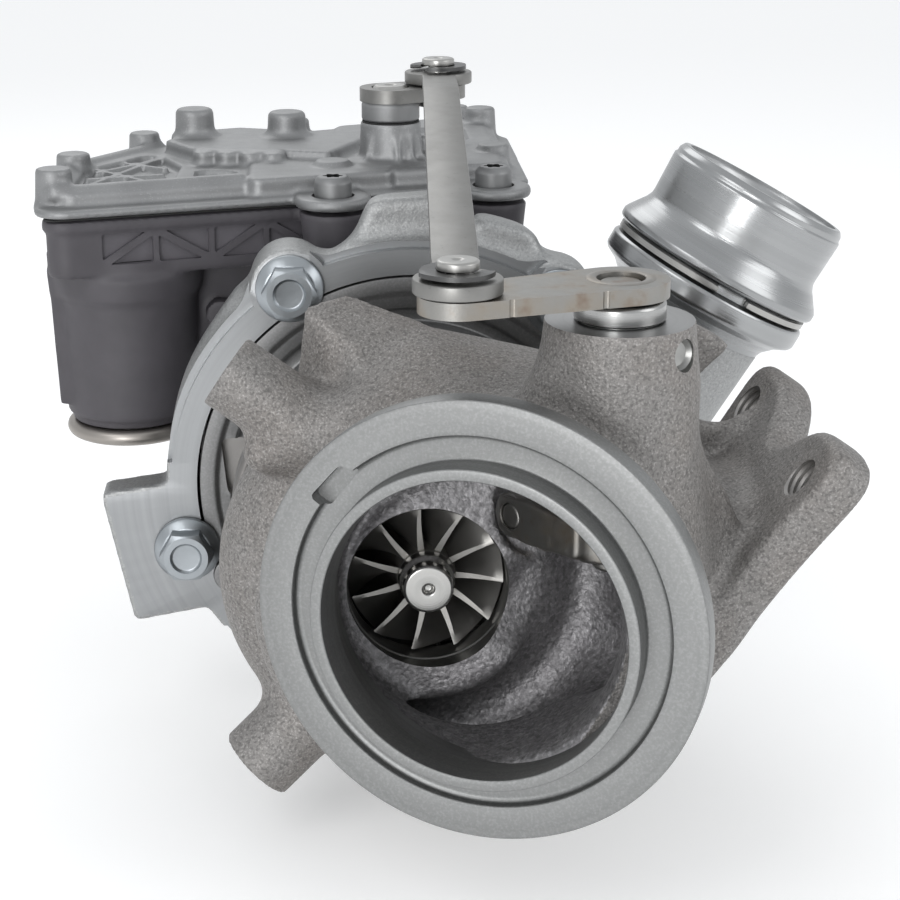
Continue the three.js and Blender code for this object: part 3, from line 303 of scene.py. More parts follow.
class Casting:
    """A body cast in one piece: shapes are added and cut with fillets, then skinned."""

    def __init__(self, low, high, step):
        self.step = step * 1
        self.axes = [np.arange(a, b + self.step, self.step, dtype=np.float32) for a, b in zip(low, high)]
        self.field = np.full([len(axis) for axis in self.axes], 20, np.float32)

    def room(self, shape, margin):
        spans = [slice(max(np.searchsorted(axis, a - margin) - 1, 0), np.searchsorted(axis, b + margin) + 1)
                 for axis, a, b in zip(self.axes, shape.low, shape.high)]
        grid = np.meshgrid(*(axis[s] for axis, s in zip(self.axes, spans)), indexing="ij", sparse=True)
        return tuple(spans), grid

    def add(self, *shapes, fillet=2.0):
        for shape in shapes:
            spans, grid = self.room(shape, fillet + 4)
            self.field[spans] = soft_min(self.field[spans], shape.distance(*grid), fillet)
        return self

    def cut(self, *shapes, fillet=0.8):
        for shape in shapes:
            spans, grid = self.room(shape, fillet + 4)
            self.field[spans] = -soft_min(-self.field[spans], shape.distance(*grid), fillet)
        return self

    def skin(self, name, material):
        """Puts one point in each grid cell that the surface crosses, and a face on each crossed edge."""
        f = np.pad(self.field, 1, constant_values=20)
        unpinch(f)
        n = np.array(f.shape)
        inside = f < 0
        corners = [tuple(slice(o, m - 1 + o) for o, m in zip(offset, n)) for offset in np.ndindex(2, 2, 2)]
        count = sum(inside[c].astype(np.int8) for c in corners)
        cells = np.argwhere((count > 0) & (count < 8))
        number = np.full(n - 1, -1, np.int32)
        number[tuple(cells.T)] = np.arange(len(cells))
        total, hits = np.zeros((len(cells), 3)), np.zeros(len(cells))
        for axis in range(3):
            for offset in np.ndindex(2, 2):
                a = np.insert(np.array(offset), axis, 0)
                b = np.insert(np.array(offset), axis, 1)
                fa, fb = f[tuple((cells + a).T)], f[tuple((cells + b).T)]
                crossed = (fa < 0) != (fb < 0)
                share = np.where(crossed, fa / np.where(crossed, fa - fb, 1), 0)
                total += (a + share[:, None] * (b - a)) * crossed[:, None]
                hits += crossed
        origin = np.array([axis[0] - self.step for axis in self.axes])
        points = origin + (cells + total / hits[:, None]) * self.step
        faces = []
        for axis in range(3):
            low = [slice(1, m - 1) for m in n]
            high = list(low)
            low[axis], high[axis] = slice(0, n[axis] - 1), slice(1, n[axis])
            a, b = inside[tuple(low)], inside[tuple(high)]
            shift = np.array([0 if k == axis else 1 for k in range(3)])
            u, v = [k for k in range(3) if k != axis]
            for flip, mask in ((False, a & ~b), (True, ~a & b)):
                at = np.argwhere(mask) + shift
                ring = []
                for du, dv in ((0, 0), (1, 0), (1, 1), (0, 1)):
                    cell = at.copy()
                    cell[:, u] -= du
                    cell[:, v] -= dv
                    ring.append(number[tuple(cell.T)])
                if flip != (axis == 1):
                    ring.reverse()
                faces.append(np.stack(ring, 1))
        return mesh_object(name, points, np.concatenate(faces), material)


# ---- meshes -----------------------------------------------------------------------------------

def in_scene(name, mesh, material):
    """Links a mesh into the scene as an object with one material."""
    mesh.materials.append(material)
    made = bpy.data.objects.new(name, mesh)
    bpy.context.scene.collection.objects.link(made)
    return made


def mesh_object(name, points, faces, material):
    """A mesh from arrays of points and of faces that all have as many corners."""
    mesh = bpy.data.meshes.new(name)
    faces = np.asarray(faces, np.int32)
    mesh.vertices.add(len(points))
    mesh.vertices.foreach_set("co", np.asarray(points, np.float32).ravel())
    mesh.loops.add(faces.size)
    mesh.loops.foreach_set("vertex_index", faces.ravel())
    mesh.polygons.add(len(faces))
    mesh.polygons.foreach_set("loop_start", np.arange(0, faces.size, faces.shape[1], dtype=np.int32))
    mesh.update(calc_edges=True)
    mesh.validate()
    return in_scene(name, mesh, material)


def from_bmesh(name, built, material):
    """An object from a built mesh, its faces turned outwards."""
    bmesh.ops.recalc_face_normals(built, faces=built.faces)
    mesh = bpy.data.meshes.new(name)
    built.to_mesh(mesh)
    built.free()
    return in_scene(name, mesh, material)


def basis(direction):
    """A turn that carries +Z onto a direction, as a 4 x 4 matrix."""
    return Vector(direction).to_track_quat("Z", "Y").to_matrix().to_4x4()


def rounded(before, at, after, radius, share, steps):
    """The points of an arc over a corner. It takes up to a share of each side."""
    before, at, after = (np.array(p, float) for p in (before, at, after))
    lengths = np.linalg.norm(before - at), np.linalg.norm(after - at)
    ease = min(radius, share * lengths[0], share * lengths[1])
    a, b = at + (before - at) / lengths[0] * ease, at + (after - at) / lengths[1] * ease
    return [tuple(a * (1 - t) ** 2 + at * 2 * t * (1 - t) + b * t * t) for t in steps]


def softened(profile, radius, closed):
    """A profile with its corners rounded by short arcs."""
    if radius <= 0:
        return profile
    made = []
    for i, point in enumerate(profile):
        if not closed and i in (0, len(profile) - 1):
            made.append(point)
        else:
            made += rounded(profile[i - 1], point, profile[(i + 1) % len(profile)], radius, 0.4,
                            (0, 0.33, 0.67, 1))
    return made


def turned(name, profile, point, direction, material, soft=0.25, segments=128):
    """A lathe part. The profile starts and ends on the axis, or else closes on itself."""
    closed = profile[0][0] > 0
    outline = softened(profile, soft, closed)
    built = bmesh.new()
    rings = []
    for r, s in outline:
        if r < 1e-6:
            rings.append([built.verts.new((0, 0, s))])
        else:
            rings.append([built.verts.new((r * math.cos(a), r * math.sin(a), s))
                          for a in np.linspace(0, 2 * math.pi, segments, endpoint=False)])
    pairs = list(zip(rings, rings[1:] + rings[:1])) if closed else list(zip(rings, rings[1:]))
    for a, b in pairs:
        for k in range(segments):
            corners = [a[k % len(a)], a[(k + 1) % len(a)], b[(k + 1) % len(b)], b[k % len(b)]]
            unique = list(dict.fromkeys(corners))
            if len(unique) > 2:
                built.faces.new(unique)
    built.transform(Matrix.Translation(Vector(point)) @ basis(direction))
    return from_bmesh(name, built, material)


def plug(name, radius, low, high, point, direction, material, soft=0, segments=128):
    """A plain cylinder between two distances along its axis, mostly as a cutter."""
    profile = [(0, low), (radius, low), (radius, high), (0, high)]
    return turned(name, profile, point, direction, material, soft, segments)


def arc_outline(points, radius, steps=6):
    """An outline with its corners rounded by arcs, as a list of points."""
    made = []
    for i, point in enumerate(points):
        after = points[(i + 1) % len(points)]
        made += rounded(points[i - 1], point, after, radius, 0.45, np.linspace(0, 1, steps))
    return made


def extruded(name, outline, low, high, material, u=X, v=Y, bevel=0.3, at=(0, 0, 0)):
    """An outline in the plane of u and v, thick along their normal, with bevelled edges."""
    normal = np.cross(u, v)
    built = bmesh.new()
    loops = [[built.verts.new(np.array(at) + u * a + v * b + normal * n) for a, b in outline]
             for n in (low, high)]
    caps = [built.faces.new(loops[0]), built.faces.new(loops[1])]
    for k in range(len(outline)):
        built.faces.new((loops[0][k], loops[0][k - 1], loops[1][k - 1], loops[1][k]))
    if bevel:
        edges = list({edge for cap in caps for edge in cap.edges})
        bmesh.ops.bevel(built, geom=edges, offset=bevel, segments=2, affect="EDGES", profile=0.5)
    return from_bmesh(name, built, material)


def settle(made):
    """Applies an object's modifiers."""
    graph = bpy.context.evaluated_depsgraph_get()
    mesh = bpy.data.meshes.new_from_object(made.evaluated_get(graph), preserve_all_data_layers=True,
                                           depsgraph=graph)
    made.modifiers.clear()
    old, made.data = made.data, mesh
    bpy.data.meshes.remove(old)
    return made


def combine(made, operation, tools):
    """Joins tools to a body, or cuts them from it. A cut face takes the tool's material."""
    for tool in tools:
        for solver in ("MANIFOLD", "EXACT"):
            step = made.modifiers.new("combine", "BOOLEAN")
            step.operation, step.object, step.solver = operation, tool, solver
            step.material_mode = "TRANSFER"
            graph = bpy.context.evaluated_depsgraph_get()
            before, after = len(made.data.vertices), len(made.evaluated_get(graph).data.vertices)
            if after and after != before:
                break
            made.modifiers.clear()
        settle(made)
        bpy.data.objects.remove(tool)
    return made


def fuse(made, *tools):
    return combine(made, "UNION", tools)


def cut(made, *tools):
    return combine(made, "DIFFERENCE", tools)


def finished(made, body, slot, *nodes, sharp=32):
    """Moves a piece from millimetres about the shaft into the model's frame, and puts it on its body."""
    made.data.transform(Matrix.Translation(SHAFT) @ Matrix.Scale(MM, 4))
    made.data.shade_smooth()
    made.data.set_sharp_from_angle(angle=math.radians(sharp))
    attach(made, body)
    if nodes:
        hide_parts(*nodes)
    return made


# ---- materials --------------------------------------------------------------------------------

class Paint:
    """A node material: a shader, the object's own coordinates in millimetres, and textures on them."""

    def __init__(self, name, colour, roughness, metallic, **sockets):
        self.material = bpy.data.materials.new(name)
        self.material.use_nodes = True
        self.tree = self.material.node_tree
        self.shader = self.tree.nodes["Principled BSDF"]
        self.colour, self.rough = colour, roughness
        self.set("Base Color", (*colour, 1))
        self.set("Roughness", roughness)
        self.set("Metallic", metallic)
        for socket, value in sockets.items():
            self.set(socket.replace("_", " "), value)
        place = self.node("ShaderNodeTexCoord").outputs["Object"]
        self.place = self.math_vector("MULTIPLY", place, (1 / MM,) * 3)
        self.height = None
        self.tint = None
        self.haze = None

    def set(self, socket, value):
        self.shader.inputs[socket].default_value = value

    def node(self, kind, **values):
        made = self.tree.nodes.new(kind)
        for key, value in values.items():
            setattr(made, key, value)
        return made

    def feed(self, socket, value):
        if isinstance(value, bpy.types.NodeSocket):
            self.tree.links.new(value, socket)
        else:
            socket.default_value = value

    def math_vector(self, operation, a, b):
        made = self.node("ShaderNodeVectorMath", operation=operation)
        self.feed(made.inputs[0], a)
        self.feed(made.inputs[1], b)
        return made.outputs[0]

    def math(self, operation, a, b=0.0, clamp=False):
        made = self.node("ShaderNodeMath", operation=operation, use_clamp=clamp)
        self.feed(made.inputs[0], a)
        self.feed(made.inputs[1], b)
        return made.outputs[0]

    def noise(self, size, detail=3.0, roughness=0.55, place=None, stretch=(1, 1, 1)):
        """Noise from 0 to 1 with lumps of a size in millimetres."""
        made = self.node("ShaderNodeTexNoise")
        stretched = self.math_vector("MULTIPLY", place or self.place, stretch)
        self.feed(made.inputs["Vector"], stretched)
        made.inputs["Scale"].default_value = 1 / size
        made.inputs["Detail"].default_value = detail
        made.inputs["Roughness"].default_value = roughness
        return made.outputs["Fac"]

    def ramp(self, value, low, high, a=0.0, b=1.0):
        made = self.node("ShaderNodeMapRange")
        for socket, number in zip(("From Min", "From Max", "To Min", "To Max"), (low, high, a, b)):
            made.inputs[socket].default_value = number
        self.feed(made.inputs["Value"], value)
        return made.outputs["Result"]

    def round_axis(self, point, direction):
        """Coordinates round an axis: distance from it, distance along it, nothing."""
        mapping = self.node("ShaderNodeMapping", vector_type="TEXTURE")
        mapping.inputs["Location"].default_value = Vector(point) + SHAFT / MM
        turn = Vector(direction).to_track_quat("Z", "Y").to_euler()
        mapping.inputs["Rotation"].default_value = turn
        self.feed(mapping.inputs["Vector"], self.place)
        split = self.node("ShaderNodeSeparateXYZ")
        self.feed(split.inputs[0], mapping.outputs[0])
        square = [self.math("MULTIPLY", split.outputs[k], split.outputs[k]) for k in (0, 1)]
        joined = self.node("ShaderNodeCombineXYZ")
        self.feed(joined.inputs[0], self.math("SQRT", self.math("ADD", *square)))
        self.feed(joined.inputs[1], split.outputs[2])
        return joined.outputs[0]

    def raise_by(self, value, depth):
        """Adds a texture to the surface's height, in millimetres."""
        lift = self.math("MULTIPLY", value, depth)
        self.height = lift if self.height is None else self.math("ADD", self.height, lift)
        return self

    def stain(self, value, colour, amount=1.0):
        """Blends towards a colour where a texture is high."""
        mix = self.node("ShaderNodeMix", data_type="RGBA")
        self.feed(mix.inputs["Factor"], self.math("MULTIPLY", value, amount))
        self.feed(mix.inputs["A"], self.tint if self.tint is not None else (*self.colour, 1))
        self.feed(mix.inputs["B"], (*colour, 1))
        self.tint = mix.outputs["Result"]
        return self

    def dull(self, value, amount):
        """Adds a texture to the roughness."""
        lift = self.math("MULTIPLY", value, amount)
        self.haze = lift if self.haze is None else self.math("ADD", self.haze, lift)
        return self

    def done(self):
        if self.tint is not None:
            self.feed(self.shader.inputs["Base Color"], self.tint)
        if self.haze is not None:
            total = self.math("ADD", self.haze, self.rough, clamp=True)
            self.feed(self.shader.inputs["Roughness"], total)
        if self.height is not None:
            bump = self.node("ShaderNodeBump")
            bump.inputs["Strength"].default_value = 1
            bump.inputs["Distance"].default_value = MM
            self.feed(bump.inputs["Height"], self.height)
            self.feed(self.shader.inputs["Normal"], bump.outputs[0])
        return self.material


def scaled(colour, factor):
    """A lighter or darker colour."""
    return tuple(min(1, c * factor) for c in colour)


def sand_cast(name, colour, grain=0.75, depth=0.16, roughness=0.5, metallic=0.75, warm=(0.26, 0.2, 0.16),
              contrast=1.0):
    """Sand-cast metal: a coarse sparkling grain with browner and greyer patches."""
    p = Paint(name, colour, roughness, metallic)
    p.raise_by(p.noise(grain, 2, 0.6), depth).raise_by(p.noise(grain * 4, 2), depth * 1.4)
    p.stain(p.ramp(p.noise(16, 3), 0.42, 0.68), warm, 0.45)
    p.stain(p.ramp(p.noise(grain * 0.9, 2), 0.5, 0.72), scaled(colour, 1 + 0.75 * contrast), 0.75)
    p.stain(p.ramp(p.noise(grain * 1.3, 2), 0.36, 0.5, 1, 0), scaled(colour, 1 - 0.55 * contrast), 0.6)
    p.dull(p.noise(grain * 2, 2), 0.25)
    return p.done()


def die_cast(name, colour, roughness=0.42, grain=0.5, depth=0.03):
    """Die-cast or blasted aluminium: a fine skin with faint flow marks."""
    p = Paint(name, colour, roughness, 0.85)
    p.raise_by(p.noise(grain, 2, 0.6), depth).raise_by(p.noise(5, 2), depth * 2)
    p.stain(p.ramp(p.noise(11, 3), 0.4, 0.7), scaled(colour, 0.8), 0.6)
    p.stain(p.ramp(p.noise(grain * 0.8, 2), 0.58, 0.7), scaled(colour, 1.3), 0.5)
    p.dull(p.noise(3, 3), 0.14)
    return p.done()


def machined(name, colour, point, direction, roughness=0.24, pitch=0.16, depth=0.012, grain=0.0):
    """A turned face or bore: fine grooves round an axis, each one a little different."""
    p = Paint(name, colour, roughness, 1.0)
    round_it = p.round_axis(point, direction)
    grooves = p.noise(pitch, 1, 0.6, place=round_it, stretch=(1, 1, 0))
    bands = p.noise(pitch * 9, 2, 0.5, place=round_it, stretch=(1, 1, 0))
    p.raise_by(grooves, depth)
    p.dull(bands, 0.14)
    p.stain(p.ramp(bands, 0.35, 0.7), scaled(colour, 0.82), 0.6)
    if grain:
        p.raise_by(p.noise(0.5, 2), grain)
        p.stain(p.ramp(p.noise(0.5, 2), 0.45, 0.7), scaled(colour, 1.25), 0.6)
    return p.done()


def plain_metal(name, colour, roughness=0.3, grain=0.25, depth=0.006, spots=0.0):
    """Stamped or drawn metal with a fine brushed skin and slight stains."""
    p = Paint(name, colour, roughness, 1.0)
    p.raise_by(p.noise(grain, 2, stretch=(1, 0.15, 1)), depth)
    p.dull(p.noise(4, 3), 0.18)
    p.stain(p.ramp(p.noise(7, 3), 0.4, 0.7), scaled(colour, 0.82), 0.5)
    if spots:
        p.stain(p.ramp(p.noise(0.9, 2), 0.66, 0.7), scaled(colour, 0.4), spots)
    return p.done()


def heat_tinted(name, colour):
    """Steel that has run hot: straw and brown bands round the hot end."""
    p = Paint(name, colour, 0.32, 1.0)
    p.raise_by(p.noise(0.5, 2, 0.6), 0.03)
    p.stain(p.ramp(p.noise(9, 3), 0.45, 0.7), (0.30, 0.235, 0.16), 0.5)
    p.stain(p.ramp(p.noise(4.5, 3), 0.58, 0.75), (0.2, 0.145, 0.115), 0.6)
    p.dull(p.noise(2, 3), 0.2)
    return p.done()


def moulded(name, colour, roughness=0.5, grain=0.3, depth=0.02):
    """Glass-filled plastic: matt, faintly mottled, with a fine sparked grain."""
    p = Paint(name, colour, roughness, 0.0)
    p.raise_by(p.noise(grain, 2), depth).raise_by(p.noise(6, 2), 0.05)
    p.stain(p.ramp(p.noise(9, 3), 0.4, 0.7), scaled(colour, 1.35), 0.5)
    p.dull(p.noise(4, 2), 0.15)
    return p.done()


IRON = sand_cast("cast_iron_skin", (0.255, 0.246, 0.238), grain=0.48, depth=0.13, warm=(0.225, 0.20, 0.182))
# The same cast iron for the faces inside the chamber, darker and greyer: painted shade for the recess, with a
# coarser grain.
IRON_INSIDE_SHADED = sand_cast("cast_iron_inside_painted_shade", (0.25, 0.245, 0.25), grain=0.9, depth=0.2, roughness=0.4,
                        warm=(0.18, 0.17, 0.18))
OUTLET_FACE = machined("outlet_face", (0.265, 0.268, 0.266), OUTLET, OUTLET_OUT, 0.4, grain=0.012)
BORE = machined("bore_face", (0.36, 0.36, 0.35), *SHAFT_AXIS, 0.3)
GATE_FACE = machined("gate_face", (0.33, 0.33, 0.33), *GATE_AXIS, 0.25)
IRON_CUT = plain_metal("iron_cut_face", (0.33, 0.32, 0.31), 0.4, grain=0.4, depth=0.02)
CAST_ALUMINIUM = sand_cast("cast_aluminium_skin", (0.36, 0.365, 0.365), grain=0.45, depth=0.05,
                           roughness=0.42, metallic=0.9, warm=(0.31, 0.31, 0.31), contrast=0.45)
DIE_CAST = die_cast("die_cast_skin", (0.30, 0.303, 0.306), roughness=0.46)
RING_FACE = machined("ring_face", (0.33, 0.338, 0.345), *SHAFT_AXIS, 0.34)
BACKPLATE = machined("backplate_face", (0.24, 0.24, 0.24), *SHAFT_AXIS, 0.4, pitch=0.3, grain=0.01)
SPIGOT_TURNED = machined("spigot_turned", (0.37, 0.376, 0.38), *SPIGOT_AXIS, 0.2, pitch=0.3, depth=0.02)
WHEEL = plain_metal("nickel_alloy_wheel", (0.42, 0.41, 0.39), 0.38, grain=0.5, depth=0.015)
NOSE = machined("wheel_nose", (0.50, 0.495, 0.48), *SHAFT_AXIS, 0.18, pitch=0.2)
IMPELLER = plain_metal("milled_aluminium", (0.66, 0.67, 0.69), 0.2)
STAINLESS = plain_metal("satin_stainless", (0.25, 0.247, 0.238), 0.34, spots=0.2)
STEEL = plain_metal("bright_steel", (0.42, 0.415, 0.40), 0.24)
SHIELD = plain_metal("shield_steel", (0.22, 0.212, 0.205), 0.42)
# Dark spring steel for the clips and the nut; the actuator screws' sockets also take it, as painted shade.
DARK_STEEL_AND_SOCKET_SHADE = plain_metal("spring_steel_and_socket_shade", (0.10, 0.10, 0.10), 0.28)
ZINC = plain_metal("zinc_plate", (0.36, 0.385, 0.405), 0.26, grain=0.8, depth=0.02)
HOT_STEEL = heat_tinted("heat_tinted_steel", (0.29, 0.284, 0.27))
WARM_RIM = plain_metal("rolled_rim", (0.36, 0.335, 0.31), 0.32)
BRONZE = plain_metal("turned_bronze", (0.60, 0.43, 0.22), 0.3)
PLASTIC = moulded("moulded_plastic", (0.058, 0.054, 0.061))
POCKET = moulded("moulded_pocket", (0.085, 0.08, 0.09))
RUBBER = moulded("gasket_rubber", (0.02, 0.02, 0.02), roughness=0.8)
ZINC_FLAKE = plain_metal("zinc_flake", (0.28, 0.283, 0.285), 0.44)
BORE_Z = machined("bush_face", (0.42, 0.42, 0.415), *GATE_AXIS, 0.2)
WELD = heat_tinted("weld_bead", (0.29, 0.278, 0.26))
BORE_AIR = machined("air_bore", (0.40, 0.405, 0.41), *SHAFT_AXIS, 0.3, pitch=0.3)
COLLAR = plain_metal("tower_collar", (0.30, 0.303, 0.306), 0.46)


# ---- turbine housing --------------------------------------------------------------------------

def turbine_shapes():
    """The housing as cast, before any machining."""
    into = -OUTLET_OUT
    core = spun([(0, -2), (21, -2), (24, 0), (31, 8), (34, 26), (35, 30), (35, 35), (0, 35)])
    volute = snail((17, 17), (-305, -25), (24.5, 33), (8.5, 15), squash=0.95)
    barrel = rod(along(OUTLET, into, 6), along(OUTLET, into, 30), 33.6, 32, edge=3)
    wall_left = rod((13, -19.8, 6), (8.9, 0, 0.3), 32.8, 30, edge=3)
    round_trough = snail(*TROUGH, (6.5, 12.5))
    neck = blob((9, 1, 3), (22, 2, -8), 28, 25)
    gate_post = rod((GATE[0], GATE[1], 8), (GATE[0], GATE[1], 54.8), 17.5, 13.2, edge=0.5)
    gate_bulge = hull([(20, -20, 47), (44, -21, 46), (46, -8, 46), (22, -2, 46), (52, -12, 4), (46, 14, 2),
                       (14, -14, 0), (50, -20, -10), (40, 14, -20)], 7)
    outline = arc_outline([(-23, 67), (-4, 67.5), (8, 55), (24, 67.5), (42, 67), (38, 40), (39, 10),
                           (-19, 10), (-18, 40)], 11)
    plate = slab(outline, FLANGE_OFFSET - FLANGE_THICK, FLANGE_OFFSET, Y, FLANGE_UP, edge=2.2)
    neck_points = [on_flange(y, t, 6) for y in (-11, 31) for t in (14, 50)]
    neck_points += [(30, -10, 12), (30, 28, 16), (20, -12, -28), (18, 28, -28), (36, 10, 24)]
    flange_neck = hull(neck_points, 8)
    gusset = hull([(44, -2, 52), (44, 2, 52), (56.5, -2, 45.5), (56.5, 2, 45.5), (52.5, -2, 36),
                   (52.5, 2, 36), (40, 0, 34)], 0.8)
    wall = hull([(24, -22, 46), (45.5, -15, 53), (34, -8, 50), (50, -12, 40), (55, -11, 28),
                 (57.5, -11, 20), (63, -11, 11), (20, -22, 12), (40, -24, -6), (56, -17, -8), (42, -2, 10),
                 (36, 0, 38)], 5)
    shoulder = hull([(22, -20, 52.5), (24, -8, 52.5), (14, -18, 41), (16, -7, 40), (4, -16, 30),
                     (6, -8, 28), (30, -24, 38), (30, -22, 16)], 6)
    pad = hull([(-22.2, 18, 49.5), (-13.8, 23, 51), (-2, 20, 45), (-12.4, 11, 43.2), (-24, 20, 34),
                (0, 24, 34), (-14, 8, 32)], 0.8)
    rib = hull([on_flange(26, 58, 7), on_flange(30, 60, 7), on_flange(28, 30, 7),
                (36, 16, 34), (36, 22, 34), (34, 20, 0)], 3)
    shelf = hull([(-13, 23, 48), (-2, 23, 44.5), (6, 23, 42.5), (15, 22, 41), (24, 20, 40), (26, 6, 41),
                  (-2, 9, 42.2), (-12, 11, 42.2), (20, 18, 30), (-10, 18, 30), (-14, -8, 27), (0, -14, 31),
                  (22, -18, 35)], 2.5)
    return [core, volute, barrel, wall_left, round_trough, neck, gate_post, gate_bulge, plate, flange_neck,
            gusset, rib, wall, shoulder, pad, shelf]


# Each boss: its start, its direction, its length and its radius.
UPPER_BOSS = (np.array((-15.0, 7.7, 24)), np.array((-0.815, 0.16, 0.555)), 27, 7.3)
LOWER_BOSS = (np.array((-10.0, 14, -19.5)), np.array((-0.72, -0.1, -0.69)) / 1.002, 33, 8)
# The lower passage: its y, its angles and its radii, each from start to end.
TROUGH = (-5.5, -4), (-175, 20), (26, 29)


def turbine_hollows():
    """The passages that the cores leave in the casting."""
    into = -OUTLET_OUT
    gas = snail((17.5, 17.5), (-300, -28), (24.5, 32.5), (5, 10), squash=0.85)
    chamber = rod(along(OUTLET, into, -6), (8.6, -3.2, 0.5), 28, 25, edge=3)
    trough = snail(*TROUGH, (2.5, 8.5))
    bowl = blob((24, -14, -4), (29, -10, -8), 16, 10.5)
    gate_room = hull([(24, -24, -8), (38, -22, -8), (38, -15, -8), (24, -13, -8), (24, -24, 30),
                      (42, -22, 30), (42, -6, 30), (20, -4, 30), (4, -14, 4), (4, -8, 24)], 5)
    ports = []
    for side in (-1, 1):
        y = 10 + side * 8.2
        outer = [on_flange(y + dy, 39 + dt, -1) for dy in (-6.2, 6.2) for dt in (-11, 11)]
        inner = [(27, 15.5 + side * 2 + dy, -13 + dz) for dy in (-5, 5) for dz in (-8, 8)]
        ports.append(hull(outer + inner, 3))
    return [gas, chamber, trough, bowl, gate_room, *ports]


def island():
    """The rough boss round the wheel's bore: it slopes back into the chamber, farther on the right."""
    points = []
    for x, y, z, r in ((0, -1.4, 0, 16.4), (3.5, -0.4, -0.6, 20.3), (5, 2.5, -0.8, 22.2), (6, 8, 0, 23.5),
                       (6, 15, 0, 24)):
        points += [(x + p[0], y, z + p[2]) for p in (ring_point(r, a) for a in range(0, 360, 15))]
    return hull(points, 1.5)


def outlet_flange():
    """The machined V-band flange: its face, a recess, and the raised centring ring."""
    profile = [(27.2, -3.6), (29.3, -3.6), (29.3, 1.9), (33.2, 1.9), (33.9, 1.5), (33.9, 0), (40.2, 0),
               (40.2, 4.6), (34.6, 8.2), (33.2, 9), (33.2, 12), (30, 12), (28.4, 5), (27.2, 3.6)]
    ring = turned("outlet_flange", profile, OUTLET, -OUTLET_OUT, OUTLET_FACE, soft=0.45, segments=192)
    u = np.cross(Z, OUTLET_OUT)
    notch = [(-30.2, 20.2), (-24.6, 26.6), (-21.4, 25.6), (-27.2, 18.2)]
    slot = extruded("notch", arc_outline(notch, 1.2), -3, 1.9, OUTLET_FACE, u, Z, bevel=0, at=OUTLET)
    return cut(ring, slot)


def threaded(point, direction, depth, radius, material, pitch=1.25):
    """A cutter for a threaded hole: a drilled bore with grooves and a countersink at its mouth."""
    profile = [(0, -3), (radius + 0.7, -3), (radius + 0.7, 0), (radius, 0.8)]
    for k in range(int((depth - 2) / pitch)):
        s = 1.2 + k * pitch
        profile += [(radius, s), (radius + 0.45, s + pitch * 0.4), (radius, s + pitch * 0.8)]
    profile += [(radius, depth), (0, depth + radius * 0.5)]
    return turned("thread", profile, point, direction, material, soft=0, segments=48)


def turbine_housing():
    """The iron casting, with its outlet flange, the machined faces and the threaded holes."""
    casting = Casting((-52, -37, -54), (84, 40, 60), 0.7)
    casting.add(*turbine_shapes(), fillet=4)
    for start, direction, length, r in (UPPER_BOSS, LOWER_BOSS):
        casting.add(rod(start, along(start, direction, length), r, edge=0.6), fillet=5)
    casting.add(blob((-30, 8, 24), (-12, 6, 30), 4, 6), fillet=4)
    casting.cut(blob(on_flange(-16, 62, 21), on_flange(24, 62, 20), 9), fillet=7)
    casting.cut(*turbine_hollows(), fillet=3)
    casting.add(island(), fillet=2.5)
    casting.cut(rod(SEAT - Y * 14, SEAT, 10.4, edge=0.5), rod(SEAT - Y * 3, SEAT + Y * 7, 6.3, edge=0.5),
                fillet=0.8)
    body = casting.skin("turbine_housing", IRON)
    paint_inside_shade(body)
    fuse(body, outlet_flange())
    bore = [(0, -6), (15.3, -6), (15.3, -1.2), (15, -0.9), (15, 4), (17, 8.5), (21, 12.5), (28, 12.5),
            (28, 20), (25, 26), (25, 37), (0, 37)]
    vent = [(0, 4.2), (2.2, 4.6), (2.9, 5.4), (2.9, 18), (0, 18)]
    beyond = [(-60, -20), (80, -20), (80, 90), (-60, 90)]
    tools = [
        turned("bore", bore, *SHAFT_AXIS, BORE, soft=0.1),
        plug("rear", 60, 0, 6, (0, 35, 0), Y, BORE),
        plug("spot", 14.6, 0, 8, (*GATE[:2], 54.3), Z, GATE_FACE, soft=0.3),
        plug("gate", 7.4, 0, 40, (*GATE[:2], 20), Z, GATE_FACE),
        turned("side", vent, (39.5, -17, 49.3), (0.5, -0.86, 0.08), BORE, soft=0, segments=48),
        extruded("face", beyond, 0, 20, IRON_CUT, Y, FLANGE_UP, bevel=0, at=FLANGE_OUT * FLANGE_OFFSET),
    ]
    tools += [threaded(on_flange(y, t, FLANGE_THICK + 1.5), FLANGE_OUT, FLANGE_THICK + 4, 3.8, IRON_CUT)
              for y, t in FLANGE_BOLTS]
    for (start, direction, length, _), depth, r, mouth, ease in ((UPPER_BOSS, 9, 4.6, 5.8, 1.2),
                                                                 (LOWER_BOSS, 12, 3.4, 4.2, 0.8)):
        end = along(start, direction, length)
        drilled = [(0, -depth - 2), (r, -depth), (r, -ease), (mouth, 0), (mouth, 3), (0, 3)]
        tools += [plug("end", 14, -0.2, 6, end, direction, IRON_CUT),
                  turned("hole", drilled, end, direction, IRON_CUT, soft=0)]
    cut(body, *tools)
    return finished(body, "housing", "cast_iron", "turbine_housing", "manifold_flange")


def paint_inside_shade(body):
    """The chamber behind the outlet is darker than the outside of the casting: a greyer copy of the iron,
    with painted shade for the recess.
    """
    body.data.materials.append(IRON_INSIDE_SHADED)
    mesh = body.data
    centres = np.zeros(len(mesh.polygons) * 3)
    mesh.polygons.foreach_get("center", centres)
    centres = centres.reshape(-1, 3).T
    normals = np.zeros(len(mesh.polygons) * 3)
    mesh.polygons.foreach_get("normal", normals)
    ahead = centres + normals.reshape(-1, 3).T
    shapes = turbine_hollows()
    near, next_to = (np.min([shape.distance(*points) for shape in shapes], 0) for points in (centres, ahead))
    # Faces in and next to the hollows take the darker copy of the iron: painted shade.
    within = (near < 0.3) | ((near < 3) & (next_to < near - 0.2))
    mesh.polygons.foreach_set("material_index", np.where(within, 1, 0).astype(np.int32))
    mesh.update()


